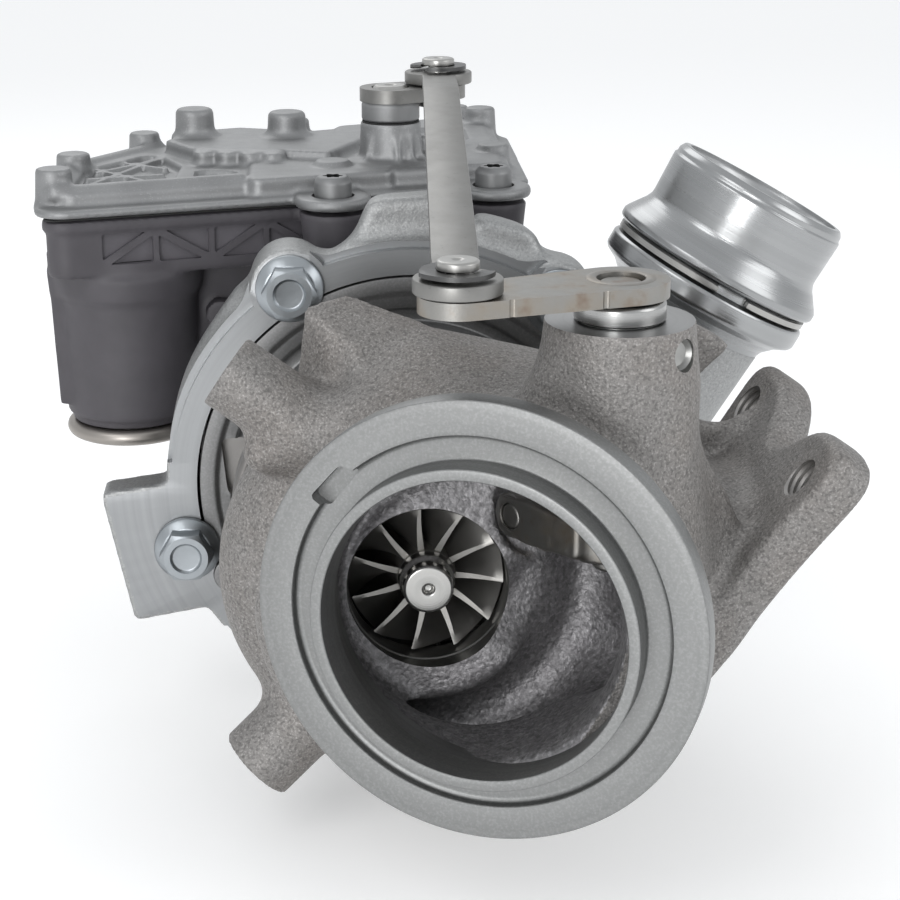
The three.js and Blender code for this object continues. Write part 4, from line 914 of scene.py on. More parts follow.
# ---- rotor ------------------------------------------------------------------------------------

def bezier(points, t):
    """A point on a Bezier curve."""
    p = [np.array(q, float) for q in points]
    while len(p) > 1:
        p = [a * (1 - t) + b * t for a, b in zip(p, p[1:])]
    return p[0]


def blade(name, hub_line, tip_line, twist, start, thick, material, steps=14, rows=8):
    """A curved blade between two [radius, y] lines. Its angle round the shaft follows twist(t)."""
    grid = []
    for i in range(steps + 1):
        t = i / steps
        low, high = bezier(hub_line, t), bezier(tip_line, t)
        grid.append([(low + (high - low) * (j / rows), start + twist(t, j / rows)) for j in range(rows + 1)])
    built = bmesh.new()
    sides = []
    for sign in (-1, 1):
        side = []
        for row in grid:
            line = []
            for j, ((r, y), angle) in enumerate(row):
                half = sign * (thick[0] + (thick[1] - thick[0]) * j / rows) / 2
                turn = angle + half / max(r, 1)
                line.append(built.verts.new((r * math.cos(turn), y, r * math.sin(turn))))
            side.append(line)
        sides.append(side)
    a, b = sides
    for i in range(steps):
        for j in range(rows):
            built.faces.new((a[i][j], a[i + 1][j], a[i + 1][j + 1], a[i][j + 1]))
            built.faces.new((b[i][j], b[i][j + 1], b[i + 1][j + 1], b[i + 1][j]))
        for j in (0, rows):
            built.faces.new((a[i][j], a[i + 1][j], b[i + 1][j], b[i][j]))
    for j in range(rows):
        for i in (0, steps):
            built.faces.new((a[i][j], a[i][j + 1], b[i][j + 1], b[i][j]))
    return from_bmesh(name, built, material)


def turbine_wheel():
    """The wheel's blades turn into the axial direction towards the outlet."""
    profile = [(0, 2), (5.6, 2.1), (5.9, 8), (8, 14.5), (12, 19.6), (17.6, 23), (17.6, 24.4), (7.6, 25.2),
               (7.2, 34), (4.2, 35), (4.2, 59), (3, 59.2), (3, 95), (0, 95)]
    hub = turned("turbine_wheel", profile, *SHAFT_AXIS, WHEEL, soft=0.5, segments=96)
    profile = [(0, -2.4), (0.7, -2.4), (0.7, -3.2), (1.2, -3.7), (4.3, -3.7), (4.75, -3.3), (4.8, -1.6),
               (4.4, -1.2), (4.4, -0.2), (5.3, 0.6), (5.5, 1.4), (5.5, 4), (0, 4)]
    nose = turned("nose", profile, *SHAFT_AXIS, NOSE, soft=0.2, segments=72)
    hub_line = [(4.6, 3.2), (5.2, 13), (8.5, 20.6), (17, 23.2)]
    tip_line = [(14.5, 1.6), (14.5, 8), (17.0, 12.2), (19.9, 13.4)]

    def sweep(t, h):
        return 0.82 * (1 - (1 - t) ** 2) - 0.1 * h * (1 - t)

    blades = []
    for k in range(TURBINE_BLADES):
        start = 2 * math.pi * k / TURBINE_BLADES + 0.05
        blades.append(blade("blade", hub_line, tip_line, sweep, start, (1.3, 0.55), WHEEL))
    fuse(hub, nose, *blades)
    return finished(hub, "rotor", "heat_resisting_alloy", "turbine_wheel", sharp=40)


def compressor_wheel():
    """Six full blades and six splitters, swept back towards the rim."""
    profile = [(3.3, 66.8), (23.6, 66.8), (23.7, 67.6), (16, 69.6), (10.4, 74), (7.2, 80.5), (5.8, 88),
               (3.3, 88)]
    hub = turned("compressor_wheel", profile, *SHAFT_AXIS, IMPELLER, soft=0.5, segments=96)
    tip_line = [(17.2, 84.6), (17.2, 78), (18.8, 74.2), (23.6, 71.0)]
    hub_line = [(5.6, 85.4), (7, 77), (11.5, 70.6), (23.6, 67.2)]
    late_tip = [(17.3, 79.5), (17.4, 76.6), (19.2, 73.6), (23.6, 71.0)]
    late_hub = [(7.0, 80.6), (8.4, 74), (12.5, 69.8), (23.6, 67.2)]

    def sweep(t, _):
        return -0.75 * (1 - (1 - t) ** 2) - 0.5 * t * t

    blades = []
    for k in range(COMPRESSOR_BLADES):
        lines = (late_hub, late_tip) if k % 2 else (hub_line, tip_line)
        start = 2 * math.pi * k / COMPRESSOR_BLADES
        blades.append(blade("blade", *lines, sweep, start, (1.1, 0.5), IMPELLER))
    fuse(hub, *blades)
    return finished(hub, "rotor", "machined_aluminium", "compressor_wheel", sharp=40)


def shaft_nut():
    """The hexagon nut that holds the compressor wheel."""
    nut = hexagon("shaft_nut", (0, 88.3, 0), Y, 9.2, 4.8, DARK_STEEL_AND_SOCKET_SHADE)
    cut(nut, plug("thread", 3.25, -1, 8, (0, 88.3, 0), Y, DARK_STEEL_AND_SOCKET_SHADE, segments=48))
    return finished(nut, "rotor", "dark_steel", "shaft_nut")


# ---- fasteners --------------------------------------------------------------------------------

def hexagon(name, point, direction, across_flats, height, material):
    """A hexagon whose top corners are turned down to a chamfer."""
    corner = across_flats / math.sqrt(3)
    outline = [(corner * math.cos(k * math.pi / 3), corner * math.sin(k * math.pi / 3)) for k in range(6)]
    turn = basis(direction)
    u, v = (np.array(turn.to_3x3() @ Vector(a)) for a in ((1, 0, 0), (0, 1, 0)))
    body = extruded(name, outline, 0, height, material, u, v, bevel=0, at=point)
    profile = [(0, -1), (corner + 1, -1), (corner + 1, height - 1.3), (corner + 0.1, height - 0.9),
               (across_flats / 2 - 0.35, height + 0.02), (0, height + 0.02)]
    chamfer = turned("chamfer", profile, point, direction, material, soft=0, segments=72)
    return combine(body, "INTERSECT", [chamfer])


def housing_bolt(number, angle):
    """A flanged hexagon bolt, its head dished in the middle."""
    face = ring_point(BOLT_RADIUS, angle, 56.7)
    out = -Y
    name = f"housing_bolt_{number}"
    body = hexagon(name, along(face, out, 1.4), out, 10, 5.1, ZINC)
    profile = [(0, 0), (7.1, 0), (7.1, 1.0), (6.3, 1.7), (5.3, 2.5), (0, 2.5)]
    flange = turned("flange", profile, face, out, ZINC, soft=0.3)
    profile = [(0, -9), (2.6, -9), (3, -8.4), (3, 0.5), (0, 0.5)]
    shank = turned("shank", profile, face, out, ZINC, soft=0.1, segments=48)
    fuse(body, flange, shank)
    profile = [(0, 5.9), (2.9, 5.9), (3.5, 6.6), (3.5, 8), (0, 8)]
    dish = turned("dish", profile, face, out, ZINC, soft=0.2, segments=64)
    cut(body, dish)
    return finished(body, "housing", "zinc_steel", name)


def headed_pin(name, point, low, high, groove, body):
    """A headed pin with a groove for its clip and a turned centre in its end."""
    r = 3
    profile = [(0, low), (4.9, low), (4.9, low + 1.5), (r, low + 1.5), (r, groove), (r - 0.75, groove),
               (r - 0.75, groove + 1.1), (r + 0.7, groove + 1.1), (r + 0.7, high - 0.3), (r + 0.3, high),
               (1.1, high), (0.5, high - 0.4), (0, high - 0.4)]
    made = turned(name, profile, (*point[:2], 0), Z, STEEL, soft=0.15, segments=72)
    return finished(made, body, "satin_steel", name)


def retaining_clip(name, point, z, facing, body):
    """A spring clip, open on one side, with two lugs and three inner teeth that hold the groove."""
    steps, gap, outer, groove, play = 64, 0.55, 6.4, 2.35, 1.9
    span = 2 * math.pi - 2 * gap
    outline = []
    for k in range(steps + 1):
        angle = facing + gap + span * k / steps
        lug = 0.5 * max(0, math.cos(2 * (angle - facing))) ** 6
        outline.append((math.cos(angle) * (outer + lug), math.sin(angle) * (outer + lug)))
    for k in range(steps + 1):
        angle = facing - gap - span * k / steps + 2 * math.pi
        room = play * (1 - max(0, math.cos(1.5 * (angle - facing - math.pi))) ** 8)
        inner = groove + room * 0.85
        outline.append((math.cos(angle) * inner, math.sin(angle) * inner))
    made = extruded(name, outline, z, z + 0.8, DARK_STEEL_AND_SOCKET_SHADE, bevel=0.12, at=(*point[:2], 0))
    return finished(made, body, "dark_steel", name)


# ---- wastegate and linkage --------------------------------------------------------------------

def wastegate_parts():
    """The bush, the shaft through it, the arm inside the outlet, and the valve disc with its rivet."""
    x, y = GATE[:2]
    length = float(np.hypot(SEAT[0] - x, SEAT[1] - y))
    arm = np.array((SEAT[0] - x, SEAT[1] - y, 0)) / length
    out = np.cross(Z, arm)
    profile = [(4.3, 29), (7.1, 29), (7.1, 54.6), (8.1, 54.6), (8.1, 57.4), (7.7, 58), (4.3, 58)]
    bush = turned("wastegate_bush", profile, (x, y, 0), Z, BORE_Z, soft=0.2)
    finished(bush, "housing", "satin_steel", "wastegate_bush")
    profile = [(0, 8), (3.6, 8), (4, 8.6), (4, 60.4), (3.5, 61), (0, 61)]
    shaft = turned("wastegate_shaft", profile, (x, y, 0), Z, HOT_STEEL, soft=0.2)
    finished(shaft, "wastegate", "satin_steel", "wastegate_shaft")
    casting = Casting((12, -24, 6), (44, 10, 24), 0.4)
    casting.add(upright(x, y, SEAT[2] - 4.5, SEAT[2] + 4.5, 7.2, edge=0.8))
    bar = [(-1, -3.4), (length - 4, -4.4), (length + 3.6, -3.6), (length + 3.6, 3.6), (length - 4, 4.4),
           (-1, 3.4)]
    shift, front = (float(np.dot((x, y, 0), way)) for way in (arm, -out))
    outline = [(a + shift, b + SEAT[2]) for a, b in bar]
    casting.add(slab(outline, front - 10.1, front - 6.7, arm, Z, corner=1.5, edge=0.8), fillet=3)
    made = casting.skin("valve_arm", HOT_STEEL)
    cut(made, plug("hole", 4.3, -10, 50, (x, y, 0), Z, HOT_STEEL, segments=64),
        plug("hole", 2.7, -4, 16, SEAT, out, HOT_STEEL, segments=48))
    finished(made, "wastegate", "heat_resisting_alloy", "valve_arm")
    profile = [(0, 0.3), (7.8, 0.3), (8.6, 1.1), (8.6, 2.1), (6.4, 2.9), (2.4, 3.1), (2.4, 9.6), (2.0, 9.9),
               (0, 9.9)]
    disc = turned("valve_disc", profile, SEAT, out, HOT_STEEL, soft=0.3)
    finished(disc, "wastegate", "heat_resisting_alloy", "valve_disc")


def dog_bone(a, ra, b, rb, steps=24):
    """A flat outline round two circles, with straight tangents between them."""
    ax = np.array(b[:2], float) - np.array(a[:2], float)
    heading, spread = math.atan2(ax[1], ax[0]), math.acos((ra - rb) / np.linalg.norm(ax))
    outline = []
    for centre, r, start, sweep in ((a, ra, heading + spread, 2 * math.pi - 2 * spread),
                                    (b, rb, heading - spread, 2 * spread)):
        for k in range(steps + 1):
            angle = start + sweep * k / steps
            outline.append((centre[0] + r * math.cos(angle), centre[1] + r * math.sin(angle)))
    return outline


def hole(point, r, low, high, material):
    """A cutter for a vertical hole."""
    return plug("hole", r, low, high, (*point[:2], 0), Z, material, segments=64)


def wastegate_lever():
    """The stamped lever, with the break-outs of its press tool along the edge and a weld on top."""
    z = LEVER_Z
    bar = extruded("wastegate_lever", dog_bone(GATE, 8.6, PIN_LOW, 6.9), z, z + 3, HOT_STEEL, bevel=0.35)
    heading = np.array((PIN_LOW[0] - GATE[0], PIN_LOW[1] - GATE[1], 0))
    heading /= np.linalg.norm(heading)
    side = np.cross(Z, heading)
    for place in (7, 24):
        at = np.array((*GATE[:2], z)) + heading * place + side * (8.9 - 0.05 * place)
        notch = plug("notch", 0.7, -1, 5, at, Z, HOT_STEEL, segments=24)
        cut(bar, notch)
    profile = [(4.4, 2.6), (6.2, 2.6), (6.2, 3.05), (5.4, 3.25), (4.4, 3.1)]
    weld = turned("weld", profile, (*GATE[:2], z), Z, WELD, soft=0.5)
    fuse(bar, weld)
    cut(bar, hole(GATE, 4.3, z - 2, z + 9, HOT_STEEL), hole(PIN_LOW, 3.3, z - 2, z + 9, HOT_STEEL))
    return finished(bar, "wastegate", "satin_steel", "wastegate_lever")


def link_strap():
    """The strap: level at each eye, with one long slope between, and eyes a little proud of it."""
    low, high = STRAP_Z, PIN_HIGH[2]
    run = PIN_HIGH[:2] - PIN_LOW[:2]
    length = float(np.linalg.norm(run))
    u = np.array((*(run / length), 0))
    side = np.cross(Z, u)
    rise, thick, half = high - low, 2.6, 3.8
    path = [(0, 0), (15, 0), (19, 0.5), (25, 1.9), (length - 31, rise - 1.4), (length - 26, rise - 0.4),
            (length - 21, rise), (length, rise)]
    built = bmesh.new()
    rows = []
    for k, (d, z) in enumerate(path):
        width = half + (0.5 if 0 < k < len(path) - 1 else 0) * (1 - d / length)
        point = np.array((*PIN_LOW[:2], low)) + u * d + Z * z
        corners = ((-1, 0), (1, 0), (1, thick), (-1, thick))
        rows.append([built.verts.new(point + side * s * width + Z * t) for s, t in corners])
    for a, b in zip(rows, rows[1:]):
        for k in range(4):
            built.faces.new((a[k], a[(k + 1) % 4], b[(k + 1) % 4], b[k]))
    built.faces.new(rows[0])
    built.faces.new(rows[-1])
    strap = from_bmesh("link_strap", built, STAINLESS)
    bevel = strap.modifiers.new("bevel", "BEVEL")
    bevel.width, bevel.segments, bevel.limit_method, bevel.angle_limit = 0.35, 2, "ANGLE", math.radians(60)
    settle(strap)
    eyes = [plug("eye", 7.7, z, z + thick, (*p[:2], 0), Z, STAINLESS, soft=0.4, segments=96)
            for p, z in ((PIN_LOW, low), (PIN_HIGH, high))]
    fuse(strap, *eyes)
    cut(strap, hole(PIN_LOW, 4.2, low - 3, low + 9, STAINLESS),
        hole(PIN_HIGH, 3.3, high - 3, high + 9, STAINLESS))
    return finished(strap, "link", "satin_steel", "link_strap")


def output_lever():
    """The stamped lever on the actuator's shaft, with the collar under it."""
    z = PIN_HIGH[2] - 3.3
    bar = extruded("output_lever", dog_bone(HUB, 7, PIN_HIGH, 6.2), z, z + 3, STAINLESS, bevel=0.5)
    profile = [(0, -2), (6.2, -2), (6.6, -1.6), (6.6, 1.6), (6.2, 2.7), (0, 2.7)]
    collar = turned("collar", profile, (*HUB[:2], HUB[2]), Z, COLLAR, soft=0.3)
    fuse(bar, collar)
    cut(bar, hole(HUB, 4.3, 66, 90, STAINLESS), hole(PIN_HIGH, 3.3, z - 2, z + 8, STAINLESS))
    return finished(bar, "actuator_output", "satin_steel", "output_lever")


def output_shaft():
    """The actuator's upright shaft, with a turned centre in its top."""
    top = PIN_HIGH[2] + 0.2
    profile = [(0, FLOOR_Z + 0.5), (4, FLOOR_Z + 0.5), (4, top - 0.6), (3.4, top), (1.4, top),
               (0.6, top - 0.7), (0, top - 0.7)]
    made = turned("output_shaft", profile, *HUB_AXIS, STEEL, soft=0.15, segments=72)
    return finished(made, "actuator_output", "satin_steel", "output_shaft")


# ---- compressor -------------------------------------------------------------------------------

def spigot_profile(low, high):
    """The spout's turned outline between two distances along it, as [radius, distance]."""
    line = [(14.6, 0), (15.6, 40), (16.4, 50), (17.2, 55.5), (18.4, 58.6), (20.6, 60.8), (23.2, 62.2),
            (23.7, 63), (23.7, 66.2), (23.3, 66.8), (21.5, 67.2), (21.5, 69.1), (23.6, 69.5), (24.1, 70),
            (24.1, 71.4), (23.5, 72.4), (22.2, 74.2), (21.1, 75.7), (20.5, 77), (20.4, 78), (20.7, 86.6),
            (20.7, 87.4), (20.3, 87.8), (20.3, 88.8), (19.5, 90)]
    inner = [p for p in line if low < p[1] < high]
    radii = np.interp([low, high], [p[1] for p in line], [p[0] for p in line])
    return [(0, low), (radii[0], low), *inner, (radii[1], high), (0, high)]


def compressor_shapes():
    """The housing as cast: a snail shell, the ring with its bolt lobes, posts, humps and the lug."""
    core = spun([(0, 57), (52.5, 57), (52.5, 66), (46, 69), (38, 78), (33, 88), (26, 93), (23.5, 98),
                 (23.5, 114), (24.9, 115), (24.9, 120.5), (24.3, 121), (0, 121)])
    shell = snail((74, 79), (28, 334), (34, 40), (9, 14.6))
    spout = rod(SPIGOT, along(*SPIGOT_AXIS, 58), 14.6, 18)
    lobes = [rod(ring_point(BOLT_RADIUS, a, 57), ring_point(BOLT_RADIUS, a, 70), 8.2, edge=0.8)
             for a in BOLT_ANGLES]
    posts = [upright(x, y, 18, 44.2, 7.4, 5.4, edge=0.6) for x, y in POSTS]
    posts.append(upright(*REAR_POST, 12, FLOOR_Z - 0.3, 6.5, 5.5, edge=0.6))
    humps = [
        hull([(-15, 62, 46), (13, 62, 47), (-9, 62, 61.5), (9, 62, 62.5), (-7, 73, 61), (8, 73, 62),
              (-16, 76, 42), (14, 76, 42)], 2.5),
        hull([(11, 61, 44), (34, 61, 33), (13, 61, 58), (27, 61, 55), (15, 75, 57), (26, 75, 53),
              (10, 78, 40), (36, 78, 30)], 3),
    ]
    wing_points = [ring_point(52, a, y) for a in (126, 158) for y in (60, 68)]
    wing_points += [ring_point(r, a, y) for r, a in ((56.5, 130), (54, 150)) for y in (61, 67)]
    wing = hull(wing_points, 3)
    lug = slab([(-63.1, -3.3), (-58.3, -27), (-38.7, -23.6), (-38.3, 0.2)][::-1], -66, -57, X, Z,
               corner=1.5, edge=0.8)
    webs = [hull([(x - 3, y, 15), (x + 3, y, 15), (x - 2.2, y - 3, 40), (x + 2.2, y - 3, 40), (x - 3, 66, 30),
                  (x + 3, 66, 30)], 2) for x, y in POSTS]
    return [core, shell, spout, *lobes, *posts, *humps, wing, *webs], lug


def compressor_housing():
    """The aluminium casting with its machined faces, the turned spigot and the ring on it."""
    casting = Casting((-66, 55, -56), (84, 123, 66), 0.75)
    shapes, lug = compressor_shapes()
    casting.add(*shapes, fillet=4)
    casting.add(lug, fillet=0.8)
    casting.cut(snail((73, 79), (31, 333), (35.5, 40), (4.6, 11.2)), fillet=1)
    body = casting.skin("compressor_housing", CAST_ALUMINIUM)
    profile = [(0, 50), (46, 50), (46, 66.5), (41, 66.5), (41, 69.4), (24.4, 69.4), (20.3, 74),
               (17.9, 81.4), (18, 92), (19, 119.6), (20.2, 122.5), (0, 122.5)]
    inner = turned("inner", profile, *SHAFT_AXIS, BORE_AIR, soft=0.4, segments=192)
    profile = [(0, -2), (11.2, -2), (12, 40), (13, 62), (0, 62)]
    spout = turned("spout", profile, *SPIGOT_AXIS, SPIGOT_TURNED, soft=0)
    face = plug("face", 70, 50, 57.05, *SHAFT_AXIS, RING_FACE)
    profile = [(51.4, 50), (56, 50), (56, 59.6), (51.4, 59.6)]
    shoulder = turned("shoulder", profile, *SHAFT_AXIS, RING_FACE, soft=0, segments=192)
    centres = [ring_point(BOLT_RADIUS, a) for a in BOLT_ANGLES]
    keep = [plug("keep", 8.4, 40, 80, p, Y, RING_FACE, segments=64) for p in centres]
    lug_room = [(-70, -32), (-36, -32), (-36, 6), (-70, 6)]
    keep.append(extruded("keep", lug_room, -80, -40, RING_FACE, X, Z, bevel=0))
    cut(shoulder, *keep)
    tools = [inner, spout, face, shoulder]
    tools.append(plug("end", 30, 59.4, 70, *SPIGOT_AXIS, SPIGOT_TURNED))
    tools.append(turned("collar", [(23.4, 99), (30, 99), (30, 122), (24.7, 122), (24.7, 115.4),
                                   (23.4, 114.4)], (0, 0, 0), Y, BORE_AIR, soft=0.2))
    bolt = [(0, 50), (3.3, 50), (3.3, 67), (0, 68)]
    tools += [turned("bolt", bolt, p, Y, BORE_AIR, soft=0, segments=32) for p in centres]
    tools += [plug("top", 9, z, z + 5, (x, y, 0), Z, RING_FACE, segments=32)
              for x, y, z in ((*POSTS[0], 44.2), (*POSTS[1], 44.2), (*REAR_POST, FLOOR_Z - 0.3))]
    tap = [(0, 30), (2.5, 31), (2.5, 50), (0, 50)]
    tools += [turned("tap", tap, (x, y, 0), Z, RING_FACE, soft=0, segments=32) for x,
              y in (*POSTS, REAR_POST)]
    cut(body, *tools)
    finished(body, "housing", "cast_aluminium", "compressor_housing", "compressor_inlet")
    spigot = turned("compressor_spigot", spigot_profile(57, 90), *SPIGOT_AXIS, SPIGOT_TURNED, soft=0.3,
                    segments=192)
    cut(spigot, turned("bore", [(0, 50), (13, 50), (13.2, 62), (15.6, 80), (16.6, 86), (18.2, 89),
                                (18.2, 92), (0, 92)], *SPIGOT_AXIS, BORE_AIR, soft=0.3))
    finished(spigot, "housing", "machined_aluminium", "compressor_spigot")
    gap, steps = 0.16, 120
    sweep = np.linspace(gap, 2 * math.pi - gap, steps)
    back = np.linspace(2 * math.pi - gap, gap, steps)
    outline = [(r * math.cos(a), r * math.sin(a)) for r, way in ((21.75, sweep), (23.1, back)) for a in way]
    turn = basis(SPIGOT_OUT).to_3x3()
    u, v = (np.array(turn @ Vector(a)) for a in ((-1, 0, 0), (0, -1, 0)))
    clip = extruded("spigot_clip", outline, 67.5, 68.7, STEEL, u, v, bevel=0.25, at=SPIGOT)
    finished(clip, "housing", "satin_steel", "spigot_clip")


def compressor_backplate():
    """The turned plate behind the ring, with a window, a boss and a rib."""
    profile = [(6.6, 63), (31.4, 63), (31.4, 57.4), (34.6, 57.4), (35.6, 59.6), (38, 59.6), (38.8, 58.2),
               (41.4, 58.2), (42.2, 57.6), (45.5, 57.6), (45.5, 66.2), (6.6, 66.2)]
    plate = turned("compressor_backplate", profile, *SHAFT_AXIS, BACKPLATE, soft=0.4, segments=192)
    window = arc_outline([(-39.5, -2.1), (-32.2, -2.9), (-35.4, 10.7), (-40.7, 10.8)], 2)
    slot = extruded("slot", window, -61.5, -50, IRON_CUT, X, Z, bevel=0)
    cut(plate, slot)
    boss = rod((-39.1, 56.6, -20), (-39.1, 60, -20), 4.2, edge=0.5)
    turn = math.radians(-12)
    out = np.array((-math.cos(turn), 0, math.sin(turn)))
    side = np.array((-math.sin(turn), 0, -math.cos(turn))) * 1.3
    corners = ((34, 1), (44, 1), (44, -1), (34, -1))
    rib = hull([out * r + side * s + Y * y for r, s in corners for y in (58.4, 61)], 0.8)
    casting = Casting((-46, 56, -26), (-14, 62, 42), 0.35).add(boss, rib, fillet=1)
    fuse(plate, casting.skin("ribs", BACKPLATE))
    return finished(plate, "housing", "cast_aluminium", "compressor_backplate")


# ---- bearing housing, clamp band and shield ---------------------------------------------------

def bearing_housing():
    """The iron middle: a core between two flanges, with its oil feed and its drain foot."""
    casting = Casting((-36, 27, -36), (36, 63.5, 34), 0.7)
    core = spun([(0, 28), (21, 28), (22.5, 30), (22.5, 35.8), (33.8, 35.8), (33.8, 40), (22, 43), (19, 48),
                 (21, 54), (31, 56.7), (31, 62.2), (0, 62.2)])
    foot = slab([(-17, 40.5), (17, 40.5), (17, 56.5), (-17, 56.5)], -36, -31, corner=3, edge=0.8)
    casting.add(core, upright(0, OIL_Y, 6, 30, 8.5), rod((0, OIL_Y, -6), (0, OIL_Y, -33), 8.4), foot,
                fillet=3)
    body = casting.skin("bearing_housing", IRON)
    bore = [(0, 20), (8, 20), (8, 59), (12, 59), (12, 65), (0, 65)]
    oil = (0, OIL_Y, 0)
    tools = [
        turned("bore", bore, *SHAFT_AXIS, BORE, soft=0),
        plug("drain", 6, 0, 44, oil, -Z, IRON_CUT, segments=48),
        plug("foot", 40, 35.9, 44, oil, -Z, IRON_CUT, segments=48),
        plug("top", 20, 29.9, 34, oil, Z, IRON_CUT, segments=48),
        threaded((0, OIL_Y, 29.9), -Z, 12, 4.6, IRON_CUT, 1.0),
        plug("feed", 1.6, 0, 40, oil, Z, IRON_CUT, segments=32),
    ]
    tools += [threaded((x, OIL_Y, -35.9), Z, 9, 2.3, IRON_CUT, 1.0) for x in (-13, 13)]
    cut(body, *tools)
    return finished(body, "housing", "cast_iron", "bearing_housing")


def clamp_band():
    """A rolled band with a V section, and the lug of its screw."""
    profile = [(35.9, 31.8), (37.4, 31.8), (38.1, 32.6), (38.1, 39.4), (37.4, 40.2), (35.9, 40.2)]
    band = turned("clamp_band", profile, (0, 0, 0), Y, SHIELD, soft=0.5, segments=192)
    out = ring_point(1, -120)
    profile = [(0, 36.6), (4.6, 36.6), (4.6, 44.2), (4, 45), (0, 45)]
    lug = turned("lug", profile, (0, 36, 0), out, SHIELD, soft=0.5, segments=64)
    fuse(band, lug)
    cut(band, plug("hole", 2.3, 30, 50, (0, 36, 0), out, SHIELD, segments=48),
        plug("room", 35.9, 29, 43, *SHAFT_AXIS, SHIELD, segments=192))
    return finished(band, "housing", "satin_steel", "clamp_band")


# ---- actuator ---------------------------------------------------------------------------------

def level(outline, low, high, corner, edge=0.7):
    """A plate between two heights."""
    return slab(list(outline), low, high, corner=corner, edge=edge)


# Studs by place, top and radius, then the two tall ones by place and top.
STUDS = ((-75.4, 81.6, 65.0, 4.1), (-74, 107.3, 63.8, 4.0), (-15.3, 99.5, 62.9, 4.2),
         (23.3, 161.9, 65.1, 4.0), (22.8, 118.5, 63.0, 4.0), (-60, 134.5, 64, 3.8), (-24, 153.5, 64, 3.8),
         (17.5, 172.5, 64, 3.8))
TALL_STUDS = ((-47.6, 130.9, 70.2), (-25.7, 129.3, 69.5))
PLATEAU = ((-54.4, 124.5), (-46.1, 110), (-27.1, 106), (-26, 108.6), (-15.8, 105.2), (-5.4, 128.3),
           (-4.5, 135.7), (-18.3, 135.2), (-37.3, 142.6), (-46.8, 138.7))


def cover_shapes():
    """The die-cast cover: lip, deck, sunken field with its lattice, plateau, studs and tower."""
    x, y = HUB[:2]
    lip = level(inset(ACTUATOR, -1.5), RIM_Z + 1, LIP_Z, 6.5, 0.9)
    ears = [upright(px, py, RIM_Z + 1, LIP_Z + 0.6, 8.4, edge=0.9) for px, py in POSTS]
    deck = level(inset(ACTUATOR, 2.6), RIM_Z + 1, 60.4, 4, 1.0)
    step = level([(-34, 83.5), (-2, 92), (-2, 108), (-34, 108)], RIM_Z + 1, 61.6, 2.5, 1.0)
    right = level([(-9, 93), (24, 102), (24.5, 158), (18, 171), (-14, 158), (-14, 112)], RIM_Z + 1, 61.3, 4,
                  1.2)
    plateau = level(PLATEAU, RIM_Z + 1, 63.7, 1.6, 0.8)
    studs = [upright(sx, sy, RIM_Z + 1, top, r + 0.3, r - 0.3, edge=0.7) for sx, sy, top, r in STUDS]
    tall = [upright(sx, sy, RIM_Z + 1, 64, 5.6, edge=0.8) for sx, sy, _ in TALL_STUDS]
    tall += [upright(sx, sy, 60, top, 4.9, 4.4, edge=1.2) for sx, sy, top in TALL_STUDS]
    tower = [upright(x, y, RIM_Z + 1, 70.4, 7.6, 6.8, edge=0.5),
             upright(x, y, RIM_Z + 1, 61.6, 10.2, 9.4, edge=1)]
    for a in (-0.5, -0.95, -1.4, 1.2, 2.6, 3.9):
        c, s = math.cos(a), math.sin(a)
        fin = ((4, 67), (7, 67), (4, 60), (8.8, 60))
        tower.append(hull([(x + r * c - t * s, y + r * s + t * c, z) for r, z in fin for t in (-0.3, 0.3)],
                          0.5))
    scallops = [upright(-46.1 + 19 * t, 110 - 4 * t, RIM_Z + 2, 63.6, 2.5, edge=0.7)
                for t in (0.08, 0.36, 0.64, 0.92)]
    slope = hull([(3, 112, 58), (7, 110, 58), (20, 128, 58), (17, 131, 58), (3.5, 112.5, 67), (6, 111, 67),
                  (18.6, 128, 61), (17, 129, 61)], 1.5)
    border = [blob(a, b, 1.5) for a, b in (((-74.5, 78, 60.2), (-36, 88.5, 60.6)),
                                           ((-74.8, 78, 60.2), (-74.6, 104, 60.2)),
                                           ((-74.6, 106, 60.2), (-57, 134, 60.2)))]
    return lip, ears, deck, [step, right, plateau, *studs, *tall, *tower, *scallops, slope, *border]


def lattice():
    """Low ribs over the sunken field, crossing in a truss."""
    ribs = [((-70, 86), (-55, 124)), ((-55, 91), (-69, 108)), ((-70.5, 96), (-53, 101)),
            ((-69, 104), (-55, 121)), ((-53, 108), (-67, 119))]
    made = []
    for (ax, ay), (bx, by) in ribs:
        out = np.array((by - ay, ax - bx)) / math.hypot(bx - ax, by - ay) * 0.8
        made.append(hull([(x + s * out[0], y + s * out[1], z) for x, y in ((ax, ay), (bx, by))
                          for s in (-1, 1) for z in (57.5, 59.9)], 0.5))
    return made


